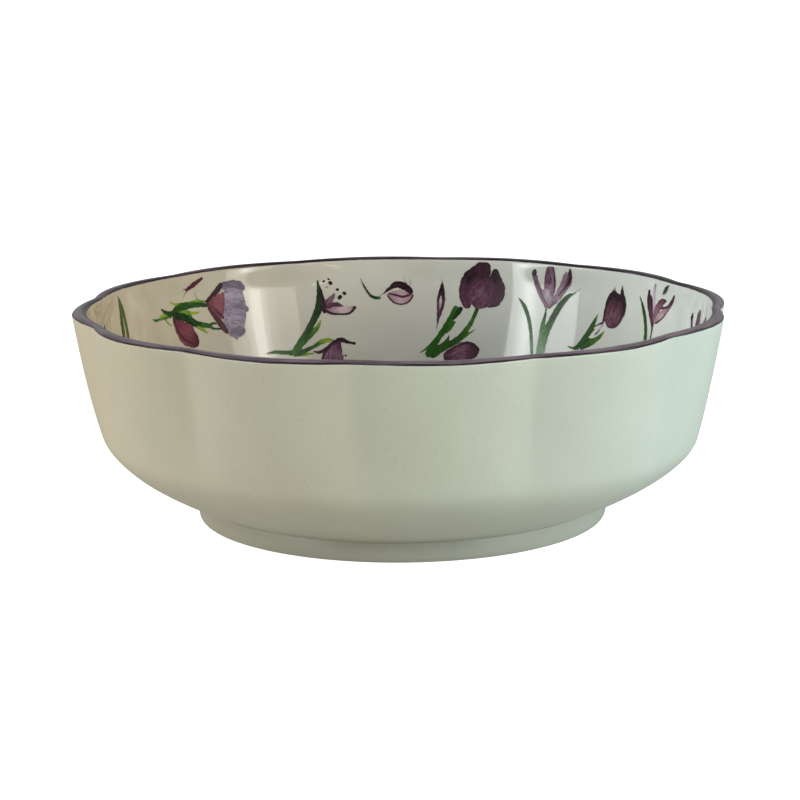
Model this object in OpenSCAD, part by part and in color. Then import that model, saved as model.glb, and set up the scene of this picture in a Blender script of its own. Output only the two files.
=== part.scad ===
// Lobed porcelain serving bowl on a foot ring, glazed in two colours, with a painted rim
// and flower transfers fired onto the inner wall. Millimetres, +Z up; the origin is the
// centre of the foot ring's resting face, so the table is at Z = 0.

/* [Bowl] */
// Radius of the rim over the crests of the lobes
rim_r = 120; // [96:1:150]
// Height from the table to the top of the lip
bowl_h = 78.5; // [62:0.5:100]
// How far the shoulder stands inside the rim
shoulder_in = 9.5; // [4:0.5:16]
// Height of the shoulder, where the wall turns under
shoulder_h = 32.5; // [26:0.5:42]
// Lean of the wall at the shoulder, in degrees from upright
shoulder_lean = 17.5; // [8:0.5:26]
// Lean of the outside of the wall at the rim, in degrees from upright
rim_lean = 9.5; // [3:0.5:18]
// Lean of the inner wall at the rim, in degrees from upright
inner_lean = 7.5; // [3:0.5:18]
// Rise of the belly where it leaves the foot, in degrees from level
belly_rise = 25; // [12:1:35]
// Width of the flat ledge between the foot ring and the belly
ledge_w = 2.5; // [1.5:0.5:6]

/* [Lobes] */
// Number of lobes round the rim
lobes = 12; // [6:1:16]
// Depth of the creases between lobes on the outside, at the rim
crease_out = 3.5; // [1:0.1:6]
// Depth of the creases on the inside, at the rim
crease_in = 1.5; // [0:0.1:3]
// Roundness of a lobe: 2 is a plain arc, less gives softer crests and sharper creases
lobe_power = 1.8; // [1.4:0.05:2.4]
// Height above the table where the outside creases fade out
crease_low = 16; // [10:1:24]
// Height above the table where the outside creases reach their full depth
crease_full = 56; // [45:1:60]
// How far below the rim the inside creases fade out, leaving the wall round
crease_in_drop = 10; // [6:1:20]
// Turn of the first lobe's crest from +X, in degrees
lobe_turn = 7; // [0:1:29]

/* [Walls] */
// Thickness of the lip over a crest
lip_t = 5.5; // [4:0.1:8]
// Height of the rounded top of the lip
lip_h = 1.6; // [1:0.1:2.4]
// Thickness of the wall at the shoulder
wall_t = 4.6; // [3.6:0.1:7]
// Thickness of the floor
floor_t = 5.5; // [4:0.1:8]
// Radius of the flat floor
well_r = 58; // [46:1:68]
// Thickness of the glazes and of the rim colour
coat_t = 0.4; // [0.2:0.05:0.6]

/* [Foot ring] */
// Outer radius of the foot ring at its widest
foot_r = 76.5; // [60:0.5:90]
// Height from the table to the underside of the bowl
foot_h = 8; // [5:0.5:10]
// Thickness of the foot ring where it joins the bowl
foot_t = 7; // [5:0.5:10]
// Width of the flat resting face
rest_w = 3; // [2:0.5:4]
// How far the foot ring draws in towards the bowl
foot_draw = 1; // [0.5:0.5:2]

/* [Transfers] */
// Height of the fired enamel over the glaze
enamel_proud = 0.25; // [0.2:0.05:0.4]
// Depth that the enamel sinks into the glaze in the firing
enamel_sunk = 0.2; // [0.1:0.05:0.25]

/* [Hidden] */
COLUMNS = 6;                      // facets across one lobe
SIDES = lobes * COLUMNS;
BELLY_STEPS = 6;
WALL_STEPS = 5;
LIP_STEPS = 6;
STROKE_STEPS = 5;
FULL_OUT = 0.36;                  // handles of the belly curve, as shares of its chord
FULL_IN = 0.24;
coat_gap = 0.1;                   // clearance round the base glaze
shoulder_r = rim_r - shoulder_in;
seat_r = foot_r - foot_draw;      // outer radius of the foot ring where it joins
belly_r = seat_r + ledge_w;
lip_z = bowl_h - lip_h;           // where the rounded lip starts
floor_z = foot_h + floor_t;
seat_z = foot_h + coat_t;         // porcelain underside, which the foot ring is luted to

PLUM = [0.30, 0.15, 0.22];
MAROON = [0.28, 0.08, 0.11];
GREY_PLUM = [0.42, 0.36, 0.43];
LILAC = [0.66, 0.55, 0.63];
LEAF = [0.16, 0.36, 0.10];
SAGE = [0.38, 0.54, 0.36];

// ---- Curves -----------------------------------------------------------------------

function bezier(p, t) =
    len(p) == 1 ? p[0] : bezier([for (i = [0:len(p) - 2]) p[i] * (1 - t) + p[i + 1] * t], t);
function bezier_path(p, steps) = [for (i = [0:steps]) bezier(p, i / steps)];
function rest(list) = [for (i = [1:len(list) - 1]) list[i]];
function reversed(list) = [for (i = [len(list) - 1:-1:0]) list[i]];
function upright(lean) = [sin(lean), cos(lean)];
function level(rise) = [cos(rise), sin(rise)];
function unit(v) = v / norm(v);

// A wall between two points of the profile, with its lean given at both ends
function wall_curve(low, high, low_lean, high_lean) =
    let (reach = norm(high - low) / 3)
    [low, low + upright(low_lean) * reach, high - upright(high_lean) * reach, high];

// A belly from a low point, rising at a given angle, up to the wall's lower end
function belly_curve(low, high, rise, high_lean) =
    let (chord = norm(high - low))
    [low, low + level(rise) * chord * FULL_OUT, high - upright(high_lean) * chord * FULL_IN, high];

// ---- Lobes ------------------------------------------------------------------------

// Share of the crease's depth at an angle: 0 on a crest, 1 in a crease
function crease_share(a) =
    let (turn = (a - lobe_turn) * lobes / 360, off = abs(turn - round(turn)) * 2)
    pow(off, lobe_power);
// Share of the crease's depth at a height, from none at one height to all at another
function crease_fade(z, none, all) =
    let (t = max(0, min(1, (z - none) / (all - none)))) t * t * (3 - 2 * t);

// ---- Profile: [radius over a crest, height, crease depth] ------------------------------

outer_curve = concat(
    bezier_path(belly_curve([belly_r, foot_h], [shoulder_r, shoulder_h], belly_rise, shoulder_lean),
        BELLY_STEPS),
    rest(bezier_path(wall_curve([shoulder_r, shoulder_h], [rim_r, lip_z], shoulder_lean, rim_lean),
        WALL_STEPS)));
inner_low = [shoulder_r - wall_t, shoulder_h + wall_t / 2];
inner_curve = concat(
    bezier_path(belly_curve([well_r, floor_z], inner_low, 0, shoulder_lean), BELLY_STEPS),
    rest(bezier_path(wall_curve(inner_low, [rim_r - lip_t, lip_z], shoulder_lean, inner_lean),
        WALL_STEPS)));

// The coat starts where its flat sides touch the round foot ring
outer_face = concat([[seat_r / cos(180 / SIDES), foot_h, 0]],
    [for (p = outer_curve) [p[0], p[1], crease_out * crease_fade(p[1], crease_low, crease_full)]]);
lip_face = [for (i = [0:LIP_STEPS])
    let (a = 180 * i / LIP_STEPS, share = (1 + cos(a)) / 2)
    [rim_r - lip_t * (1 - share), lip_z + lip_h * sin(a),
        crease_in + (crease_out - crease_in) * share]];
inner_face = [for (p = reversed(inner_curve))
    [p[0], p[1], crease_in * crease_fade(p[1], bowl_h - crease_in_drop, lip_z)]];

// The whole skin from the foot ring over the lip to the floor
skin = concat(outer_face, rest(lip_face), rest(inner_face));
LAST_OUTER = len(outer_face) - 1;
LAST_LIP = LAST_OUTER + LIP_STEPS;

function flat(p) = [p[0], p[1]];
function across(v) = [v[1], -v[0]];
function side_normal(i) = across(unit(flat(skin[i + 1] - skin[i])));
// A skin point moved inwards so that both faces beside it move by the same distance
function sunk(i, d) =
    let (before = side_normal(max(i - 1, 0)), after = side_normal(min(i, len(skin) - 2)),
         miter = (before + after) / (1 + before * after))
    [skin[i][0] - miter[0] * d, skin[i][1] - miter[1] * d, skin[i][2]];
function skin_part(first, last) = [for (i = [first:last]) skin[i]];
function sunk_part(first, last) = [for (i = [first:last]) sunk(i, coat_t)];

// ---- Solids ------------------------------------------------------------------------

function ring(p) = [for (k = [0:SIDES - 1])
    let (a = 360 * k / SIDES + lobe_turn, r = p[0] - p[2] * crease_share(a))
    [r * cos(a), r * sin(a), p[1]]];
function band_faces(low, high) = [for (k = [0:SIDES - 1])
    let (n = (k + 1) % SIDES, a = low * SIDES, b = high * SIDES)
    each [[a + k, b + k, b + n], [a + k, b + n, a + n]]];

// A solid swept round the axis through the points of a profile. An open profile runs from
// the underside outwards and back over the top, and is closed by flat discs; a looped one
// makes a shell.
module turned(profile, looped) {
    count = len(profile);
    bands = [for (i = [0:count - (looped ? 1 : 2)]) each band_faces(i, (i + 1) % count)];
    discs = looped ? [] : [[for (k = [0:SIDES - 1]) k],
        [for (k = [SIDES - 1:-1:0]) (count - 1) * SIDES + k]];
    polyhedron(points = [for (p = profile) each ring(p)], faces = concat(bands, discs));
}

module bowl_body() {
    color("ivory") turned(sunk_part(0, len(skin) - 1), false);
}

module outer_glaze() {
    color([0.74, 0.82, 0.76])
        turned(concat(skin_part(0, LAST_OUTER), reversed(sunk_part(0, LAST_OUTER))), true);
}

module inner_glaze() {
    last = len(skin) - 1;
    color([0.90, 0.89, 0.84])
        turned(concat(reversed(sunk_part(LAST_LIP, last)), skin_part(LAST_LIP, last)), false);
}

module rim_band() {
    color(GREY_PLUM)
        turned(concat(skin_part(LAST_OUTER, LAST_LIP), reversed(sunk_part(LAST_OUTER, LAST_LIP))),
            true);
}

module foot_ring() {
    toe = rest_w / 2;
    toe_r = foot_r - foot_t / 2;
    color([0.85, 0.86, 0.80]) rotate_extrude($fn = 180)
        polygon(concat(
            [[seat_r - foot_t, seat_z], [toe_r - toe, 0], [toe_r + toe, 0]],
            rest(bezier_path([[toe_r + toe, 0], [foot_r, 0], [foot_r, foot_h / 3],
                [seat_r, foot_h]], 8)),
            [[seat_r, seat_z]]));
}

module base_glaze() {
    color([0.74, 0.82, 0.76]) translate([0, 0, foot_h])
        cylinder(h = coat_t, r = seat_r - foot_t - coat_gap, $fn = 180);
}

// ---- Transfers ---------------------------------------------------------------------

// The inner face by the distance down from the lip
down = [for (i = 0, s = 0; i < len(inner_face);
    s = s + (i + 1 < len(inner_face) ? norm(flat(inner_face[i + 1] - inner_face[i])) : 0),
    i = i + 1) s];
function face_table(n) = [for (i = [0:len(down) - 1]) [down[i], inner_face[i][n]]];
r_table = face_table(0);
z_table = face_table(1);
crease_table = face_table(2);
depth_table = [for (i = [len(down) - 1:-1:0]) [inner_face[i][1], down[i]]];
function drop_at(z) = lookup(z, depth_table);

// Radius of the wall at an angle, straight across each facet
function facet_r(a, crest, crease) =
    let (step = 360 / SIDES, from = lobe_turn + floor((a - lobe_turn) / step) * step,
         r1 = crest - crease * crease_share(from), r2 = crest - crease * crease_share(from + step))
    r1 * r2 * sin(step) / (r1 * sin(a - from) + r2 * sin(from + step - a));
// A spot [right, up] of a motif, set on the wall and lifted off it by some distance
function on_wall(at, spot, lift) =
    let (s = at[1] - spot[1], r0 = lookup(at[1], r_table), a = at[0] - spot[0] / r0 * 180 / PI,
         r = facet_r(a, lookup(s, r_table), lookup(s, crease_table)), z = lookup(s, z_table),
         slope = unit([lookup(s + 1, r_table) - lookup(s - 1, r_table),
             lookup(s + 1, z_table) - lookup(s - 1, z_table)]))
    [(r + lift * slope[1]) * cos(a), (r + lift * slope[1]) * sin(a), z - lift * slope[0]];
// The same on the flat floor, about a centre [x, y] and turned by an angle
function on_floor(at, spot, lift) =
    [at[0] + spot[0] * cos(at[2]) - spot[1] * sin(at[2]),
     at[1] + spot[0] * sin(at[2]) + spot[1] * cos(at[2]), floor_z + lift];
function placed(at, spot, lift) =
    len(at) == 3 ? on_floor(at, spot, lift) : on_wall(at, spot, lift);

// One brush stroke of enamel: a curved line with its width at the start, middle and end
module stroke(at, line, widths, across_steps = 1) {
    ribs = across_steps + 1;
    function spot(i, j) =
        let (t = i / STROKE_STEPS, ahead = unit(bezier(line, t + 0.01) - bezier(line, t - 0.01)))
        bezier(line, t) + [ahead[1], -ahead[0]] * bezier(widths, t) * (j / across_steps - 0.5);
    points = [for (i = [0:STROKE_STEPS]) each concat(
        [for (j = [0:across_steps]) placed(at, spot(i, j), enamel_proud)],
        [for (j = [across_steps:-1:0]) placed(at, spot(i, j), -enamel_sunk)])];
    size = 2 * ribs;
    sides = [for (i = [0:STROKE_STEPS - 1], j = [0:size - 1])
        let (n = (j + 1) % size, a = i * size, b = (i + 1) * size)
        each [[a + j, b + n, b + j], [a + j, a + n, b + n]]];
    ends = [for (j = [0:across_steps - 1]) let (o = size - 1, z = STROKE_STEPS * size)
        each [[j, o - j, j + 1], [j + 1, o - j, o - j - 1],
            [z + j, z + j + 1, z + o - j], [z + j + 1, z + o - j - 1, z + o - j]]];
    polyhedron(points = points, faces = concat(sides, ends));
}
module leaf(at, line, widths) color(LEAF) stroke(at, line, widths);
module petal(at, line, widths, steps = 2) stroke(at, line, widths, steps);

module leaf_pair(at) {
    leaf(at, [[-2.5, -12], [-0.5, 4], [-0.7, 15.8]], [1.8, 2.6, 0.5]);
    leaf(at, [[3.4, -12], [3.6, 12], [0.8, 14.6]], [1.8, 2.4, 0.5]);
}

module lying_tulip(at) {
    color(MAROON) petal(at, [[0.8, 0], [5, -2.6], [8.6, -2.9]], [1, 8, 20], 4);
    color(GREY_PLUM) petal(at, [[9.4, -3], [14, -3.3], [19, -3.6]], [21.5, 23, 18], 4);
    color(MAROON) petal(at, [[-18.8, -4.8], [-15.5, -9.5], [-8.4, -16.5]], [1.2, 10, 4]);
    color(MAROON) petal(at, [[-0.9, 10.6], [-5, 8.9], [-9.2, 7.5]], [0.8, 3.6, 0.8]);
    leaf(at, [[-18, -1.4], [-10, 3], [-0.6, 0.6]], [2, 1.6, 1]);
    leaf(at, [[-17.8, -3.2], [-9, -3.4], [2.5, -9.8]], [1.4, 1.4, 0.6]);
    leaf(at, [[-19, -1], [-22, 0], [-25.6, 1.6]], [1.4, 1.2, 0.5]);
    leaf(at, [[-19.6, -3], [-25, -4.2], [-31.7, -2.2]], [1.4, 1.4, 0.5]);
}

module starry_crocus(at) {
    color(PLUM) petal(at, [[13, 17], [19, 14], [25.3, 17.2]], [1.5, 6, 1.5]);
    color(PLUM) petal(at, [[13.4, 19.6], [15, 22.6], [18, 23.8]], [1.2, 4, 1]);
    for (dot = [[15.8, 30], [16.2, 27.8], [19.2, 25.6], [20.2, 21.6], [22, 24]])
        color(PLUM) stroke(at, [dot, dot + [0.5, 0.4], dot + [1, 0.8]], [0.5, 1.3, 0.5]);
    leaf(at, [[0, 0], [13, 12], [11.4, 29]], [2.4, 2.6, 0.8]);
    leaf(at, [[4, 1.4], [9.6, 5], [12.8, 12.5]], [1.1, 1.6, 0.8]);
    leaf(at, [[-1.6, -0.4], [-6, 1.5], [-13, 1.1]], [1.4, 1.8, 0.6]);
    leaf(at, [[2, -2], [8, -0.5], [14.8, 4.2]], [1.4, 1.8, 0.6]);
}

module horned_tulip(at) {
    color(PLUM) petal(at, [[-4, -10], [-3, -3], [-1, 2.5]], [4, 13, 3]);
    color(PLUM) petal(at, [[1.2, 2], [5, 2.5], [7, 1.1]], [2, 2.4, 1]);
    color(PLUM) petal(at, [[-12.5, -1], [-10.4, -1.4], [-8.4, -2.8]], [0.8, 1.6, 1.2]);
}

module curl_bud(at) {
    color(PLUM) petal(at, [[-6.3, 0.7], [-0.8, 8], [5.4, 0.5]], [1.2, 4.6, 1.6]);
    color(LILAC) petal(at, [[-5.2, -1.2], [0, -3.8], [5, -1.4]], [0.8, 7, 0.8]);
    leaf(at, [[-16.4, 6.1], [-14, -1.5], [-8.3, -2.2]], [0.6, 1.2, 0.6]);
}

module slim_bud(at) {
    color(PLUM) petal(at, [[0.6, 7.8], [0.4, 2], [-1.6, -11]], [0.5, 6.6, 0.5]);
}

module low_bud(at) {
    color(PLUM) petal(at, [[7, 0], [1, 2.6], [-6.1, -3.5]], [2, 11, 4]);
}

module great_tulip(at) {
    color(PLUM) petal(at, [[2.2, 1.2], [0.5, 9], [4.4, 18]], [3.5, 7.6, 2.2]);
    color(PLUM) petal(at, [[8, 2], [8.2, 10], [8.6, 20]], [3, 6, 5]);
    color(PLUM) petal(at, [[12, 4.2], [17, 9], [13.6, 16.6]], [2.5, 7.5, 2.5]);
    leaf(at, [[-14.2, -19.7], [-8, -11], [-2.5, 0.4]], [2.2, 2.2, 1.6]);
    leaf(at, [[-10.8, -19.6], [0.5, -11], [6.1, 0.2]], [2.2, 2, 1.4]);
    leaf(at, [[-18, -18.6], [-15.5, -17.5], [-13.4, -15.6]], [0.6, 1.2, 0.6]);
    leaf(at, [[2.6, -10.6], [4, -9.8], [5.8, -8.2]], [1, 1, 0.4]);
}

module open_crocus(at) {
    color(LILAC) petal(at, [[-0.9, 1], [-4, 7.5], [-6.4, 15.5]], [0.8, 2.6, 2.4]);
    color(LILAC) petal(at, [[0.2, 2.2], [0.2, 9], [1.2, 17]], [1, 6, 1.4]);
    color(LILAC) petal(at, [[1.6, 1], [6.4, 7], [10.2, 16.2]], [0.8, 4.6, 2]);
    color(SAGE) stroke(at, [[-0.2, -0.8], [-1.8, -8], [-2.6, -24]], [0.8, 2, 2]);
    color(SAGE) stroke(at, [[0.4, -24], [0.7, -4], [15.5, 9.4]], [2, 2.6, 0.4]);
    color(SAGE) stroke(at, [[-12.5, 3], [-6, -5], [-5.4, -24]], [0.6, 2.4, 1.4]);
}

module dark_tulip(at) {
    color(PLUM) petal(at, [[1.4, 0.6], [0.4, 8], [4, 14.4]], [2, 4.8, 1.2]);
    color(PLUM) petal(at, [[4.6, 0.4], [5.4, 5], [6.4, 11.6]], [1.6, 3.6, 1.5]);
    color(PLUM) petal(at, [[7.4, 0.2], [12.8, 5.5], [9.4, 15]], [2, 5.4, 1.2]);
    leaf(at, [[0, -0.4], [-2, -1.4], [-3.8, -2.4]], [0.8, 0.8, 0.8]);
    leaf(at, [[-10.5, -10.4], [-6.8, -4.5], [-3.4, 3.2]], [1.8, 2, 0.5]);
    leaf(at, [[-8.6, -11.4], [-3, -8.6], [1.7, -3.9]], [1.6, 2.2, 1]);
    leaf(at, [[-12, -11.3], [-13.8, -11.2], [-15.6, -11.5]], [1, 1, 0.5]);
}

module plum_crocus(at) {
    color(PLUM) petal(at, [[-1.2, 1], [-3.6, 6.4], [-5.3, 12.6]], [0.8, 3.2, 1.2]);
    color(LILAC) petal(at, [[0, 2.4], [0, 9], [-1.2, 16.4]], [0.6, 1.8, 1.6]);
    color(LILAC) petal(at, [[1.6, 3.6], [2.6, 7], [5, 10.4]], [0.8, 3.4, 2]);
    color(PLUM) petal(at, [[1.4, 0.6], [7.8, 3.6], [13.6, 13.1]], [0.8, 3.2, 1]);
    color(PLUM) petal(at, [[4.2, 12.9], [7, 14.8], [9.4, 16.8]], [1.2, 3, 1.2]);
    leaf(at, [[-0.3, -0.6], [-0.3, -4], [-1, -14]], [0.8, 1.2, 1.4]);
    leaf(at, [[-10.8, 10], [-5.2, 3], [-4, -14]], [0.6, 3, 2]);
}

// Every transfer: name, motif, then azimuth and depth below the rim, or x, y and turn on the floor
TRANSFERS = [
    ["leaf_pair_1", "leaf_pair", [161.5, 18.5]],
    ["lying_tulip_1", "lying_tulip", [134, 13.5]],
    ["starry_crocus_1", "starry_crocus", [113.5, 37.5]],
    ["horned_tulip_1", "horned_tulip", [103, 36]],
    ["curl_bud_1", "curl_bud", [90, 14.5]],
    ["slim_bud_1", "slim_bud", [81.5, 18.5]],
    ["great_tulip_1", "great_tulip", [77, 21.5]],
    ["low_bud_1", "low_bud", [76.5, 38]],
    ["open_crocus_1", "open_crocus", [58, 18.5]],
    ["dark_tulip_1", "dark_tulip", [43.5, 21.5]],
    ["plum_crocus_1", "plum_crocus", [28, 18.5]],
    ["open_crocus_2", "open_crocus", [9.5, 24.5]],
    ["curl_bud_2", "curl_bud", [-8.5, 16.5]],
    ["leaf_pair_2", "leaf_pair", [-18.5, 18.5]],
    ["lying_tulip_2", "lying_tulip", [-46, 13.5]],
    ["starry_crocus_2", "starry_crocus", [-66.5, 37.5]],
    ["horned_tulip_2", "horned_tulip", [-77, 36]],
    ["curl_bud_3", "curl_bud", [-90, 14.5]],
    ["slim_bud_2", "slim_bud", [-98.5, 18.5]],
    ["great_tulip_2", "great_tulip", [-103, 21.5]],
    ["low_bud_2", "low_bud", [-103.5, 38]],
    ["open_crocus_3", "open_crocus", [-122, 18.5]],
    ["dark_tulip_2", "dark_tulip", [-136.5, 21.5]],
    ["plum_crocus_2", "plum_crocus", [-152, 18.5]],
    ["dark_tulip_3", "dark_tulip", [184, 21.5]],
    ["slim_bud_3", "slim_bud", [171, 18.5]],
    ["great_tulip_3", "great_tulip", [0, 18, 25]],
    ["plum_crocus_3", "plum_crocus", [-22, -16, 140]],
    ["curl_bud_4", "curl_bud", [24, -14, -80]]
];

module transfer(entry) {
    motif = entry[1];
    spot = entry[2];
    at = len(spot) == 3 ? spot : [spot[0], drop_at(bowl_h - spot[1])];
    if (motif == "leaf_pair") leaf_pair(at);
    if (motif == "lying_tulip") lying_tulip(at);
    if (motif == "starry_crocus") starry_crocus(at);
    if (motif == "horned_tulip") horned_tulip(at);
    if (motif == "curl_bud") curl_bud(at);
    if (motif == "slim_bud") slim_bud(at);
    if (motif == "low_bud") low_bud(at);
    if (motif == "great_tulip") great_tulip(at);
    if (motif == "open_crocus") open_crocus(at);
    if (motif == "dark_tulip") dark_tulip(at);
    if (motif == "plum_crocus") plum_crocus(at);
}

bowl_body();
foot_ring();
outer_glaze();
base_glaze();
inner_glaze();
rim_band();
for (entry = TRANSFERS)
    transfer(entry);
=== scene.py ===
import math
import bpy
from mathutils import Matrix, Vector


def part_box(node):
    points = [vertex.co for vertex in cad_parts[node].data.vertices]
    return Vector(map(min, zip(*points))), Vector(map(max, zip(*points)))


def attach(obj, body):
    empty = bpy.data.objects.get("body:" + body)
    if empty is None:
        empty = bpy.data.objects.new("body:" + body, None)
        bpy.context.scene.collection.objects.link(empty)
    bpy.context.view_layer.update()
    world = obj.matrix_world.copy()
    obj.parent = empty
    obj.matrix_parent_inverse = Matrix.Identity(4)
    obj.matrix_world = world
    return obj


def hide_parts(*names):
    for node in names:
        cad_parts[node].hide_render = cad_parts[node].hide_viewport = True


bl_info = {
    "name": "Lobed porcelain bowl",
    "version": (1, 0, 0),
    "blender": (4, 5, 0),
    "location": "View3D > Sidebar > Bowl",
    "description": "Builds a lobed porcelain serving bowl with a painted rim and flower transfers",
    "category": "Object",
}

import bpy
import numpy as np
from bpy.props import FloatProperty, FloatVectorProperty, IntProperty, PointerProperty
from bpy.types import Operator, Panel, PropertyGroup

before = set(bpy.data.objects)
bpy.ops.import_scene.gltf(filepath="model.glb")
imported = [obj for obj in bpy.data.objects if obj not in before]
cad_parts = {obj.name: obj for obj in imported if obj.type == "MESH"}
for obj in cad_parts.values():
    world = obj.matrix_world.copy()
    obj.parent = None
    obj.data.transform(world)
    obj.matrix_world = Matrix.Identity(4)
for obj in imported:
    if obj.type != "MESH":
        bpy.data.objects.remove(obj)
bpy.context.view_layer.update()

MM = 0.001
BODY = "root"


# ---- Sizes taken from the frame --------------------------------------------------------


def widest(node):
    """The largest distance of a CAD node's points from the bowl's axis."""
    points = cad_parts[node].data.vertices
    return max(math.hypot(point.co.x, point.co.y) for point in points)


RIM_RADIUS = widest("outer_glaze")
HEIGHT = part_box("rim_band")[1].z
LIP_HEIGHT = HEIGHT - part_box("outer_glaze")[1].z
FOOT_RADIUS = widest("foot_ring")
FOOT_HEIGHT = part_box("base_glaze")[0].z
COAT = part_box("base_glaze")[1].z - FOOT_HEIGHT
FLOOR_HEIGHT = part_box("inner_glaze")[0].z + COAT

# How the profile is drawn: leans in degrees from upright, rises in degrees from level
SHOULDER_IN = 9.5 * MM
SHOULDER_HEIGHT = 32.5 * MM
SHOULDER_LEAN = 17.5
RIM_LEAN = 9.5
INNER_LEAN = 7.5  # the inside of the wall stands a little steeper at the rim
BELLY_RISE = 25.0
LEDGE = 2.5 * MM
WELL_RADIUS = 58.0 * MM
WALL = 4.6 * MM
LIP = 5.5 * MM
BELLY_HANDLES = (0.36, 0.24)  # how far the belly curve keeps its end directions, in chords
FOOT_THICKNESS = 7.0 * MM
FOOT_DRAW = 1.0 * MM
REST_WIDTH = 3.0 * MM

# How the creases between the lobes are drawn
CREASE_OUT = 3.5 * MM
CREASE_IN = 1.5 * MM
CREASE_LOW = 16.0 * MM
CREASE_FULL = 56.0 * MM
CREASE_IN_DROP = 10.0 * MM
LOBE_POWER = 1.8
LOBE_TURN = 7.0
CREASE_SOFTNESS = 0.07  # half-width of a crease's rounded bottom, as a share of a lobe

COLUMNS = 480  # facets round the bowl
SHELL_STEPS = 22
LIP_STEPS = 14

# How far the rim colour stands over the glazes, where it starts and stops as a turn over the
# lip in radians from outside to inside, how far those edges wander, and the waves of that
# wandering: how many go round the bowl, where each starts and its weight
RIM_PROUD = 0.07 * MM
RIM_START = 0.24
RIM_STOP = 2.7
RIM_WANDER = 0.12
BRUSH_DRIFT = ((5, 1.3, 0.32), (11, 0.4, 0.26), (23, 0.0, 0.2), (47, 2.1, 0.13), (89, 0.7, 0.1))

# How far the enamel stands over the glaze, each stroke over the last, and its thickness
ENAMEL_PROUD = 0.035 * MM
ENAMEL_STEP = 0.009 * MM
ENAMEL_DEPTH = 0.16 * MM
STROKE_CELL = 0.6  # mm between the points of a stroke's mesh
ROUND_STEPS = 5  # rows of points in each round end of a stroke
LINE_SAMPLES = 80  # points along a stroke's middle line
LONGEST_CAP = 0.46  # the longest round end, as a share of the stroke
THINNEST = 0.15  # mm, the thinnest a stroke is drawn
OVERLAP = 0.15  # mm that a stroke's point lies inside another before it takes its shade
FAR_OUTSIDE = -9.0  # mm, the depth of a point that is near no other stroke


# ---- Transfers: motifs as brush strokes, in millimetres ---------------------------------

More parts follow.
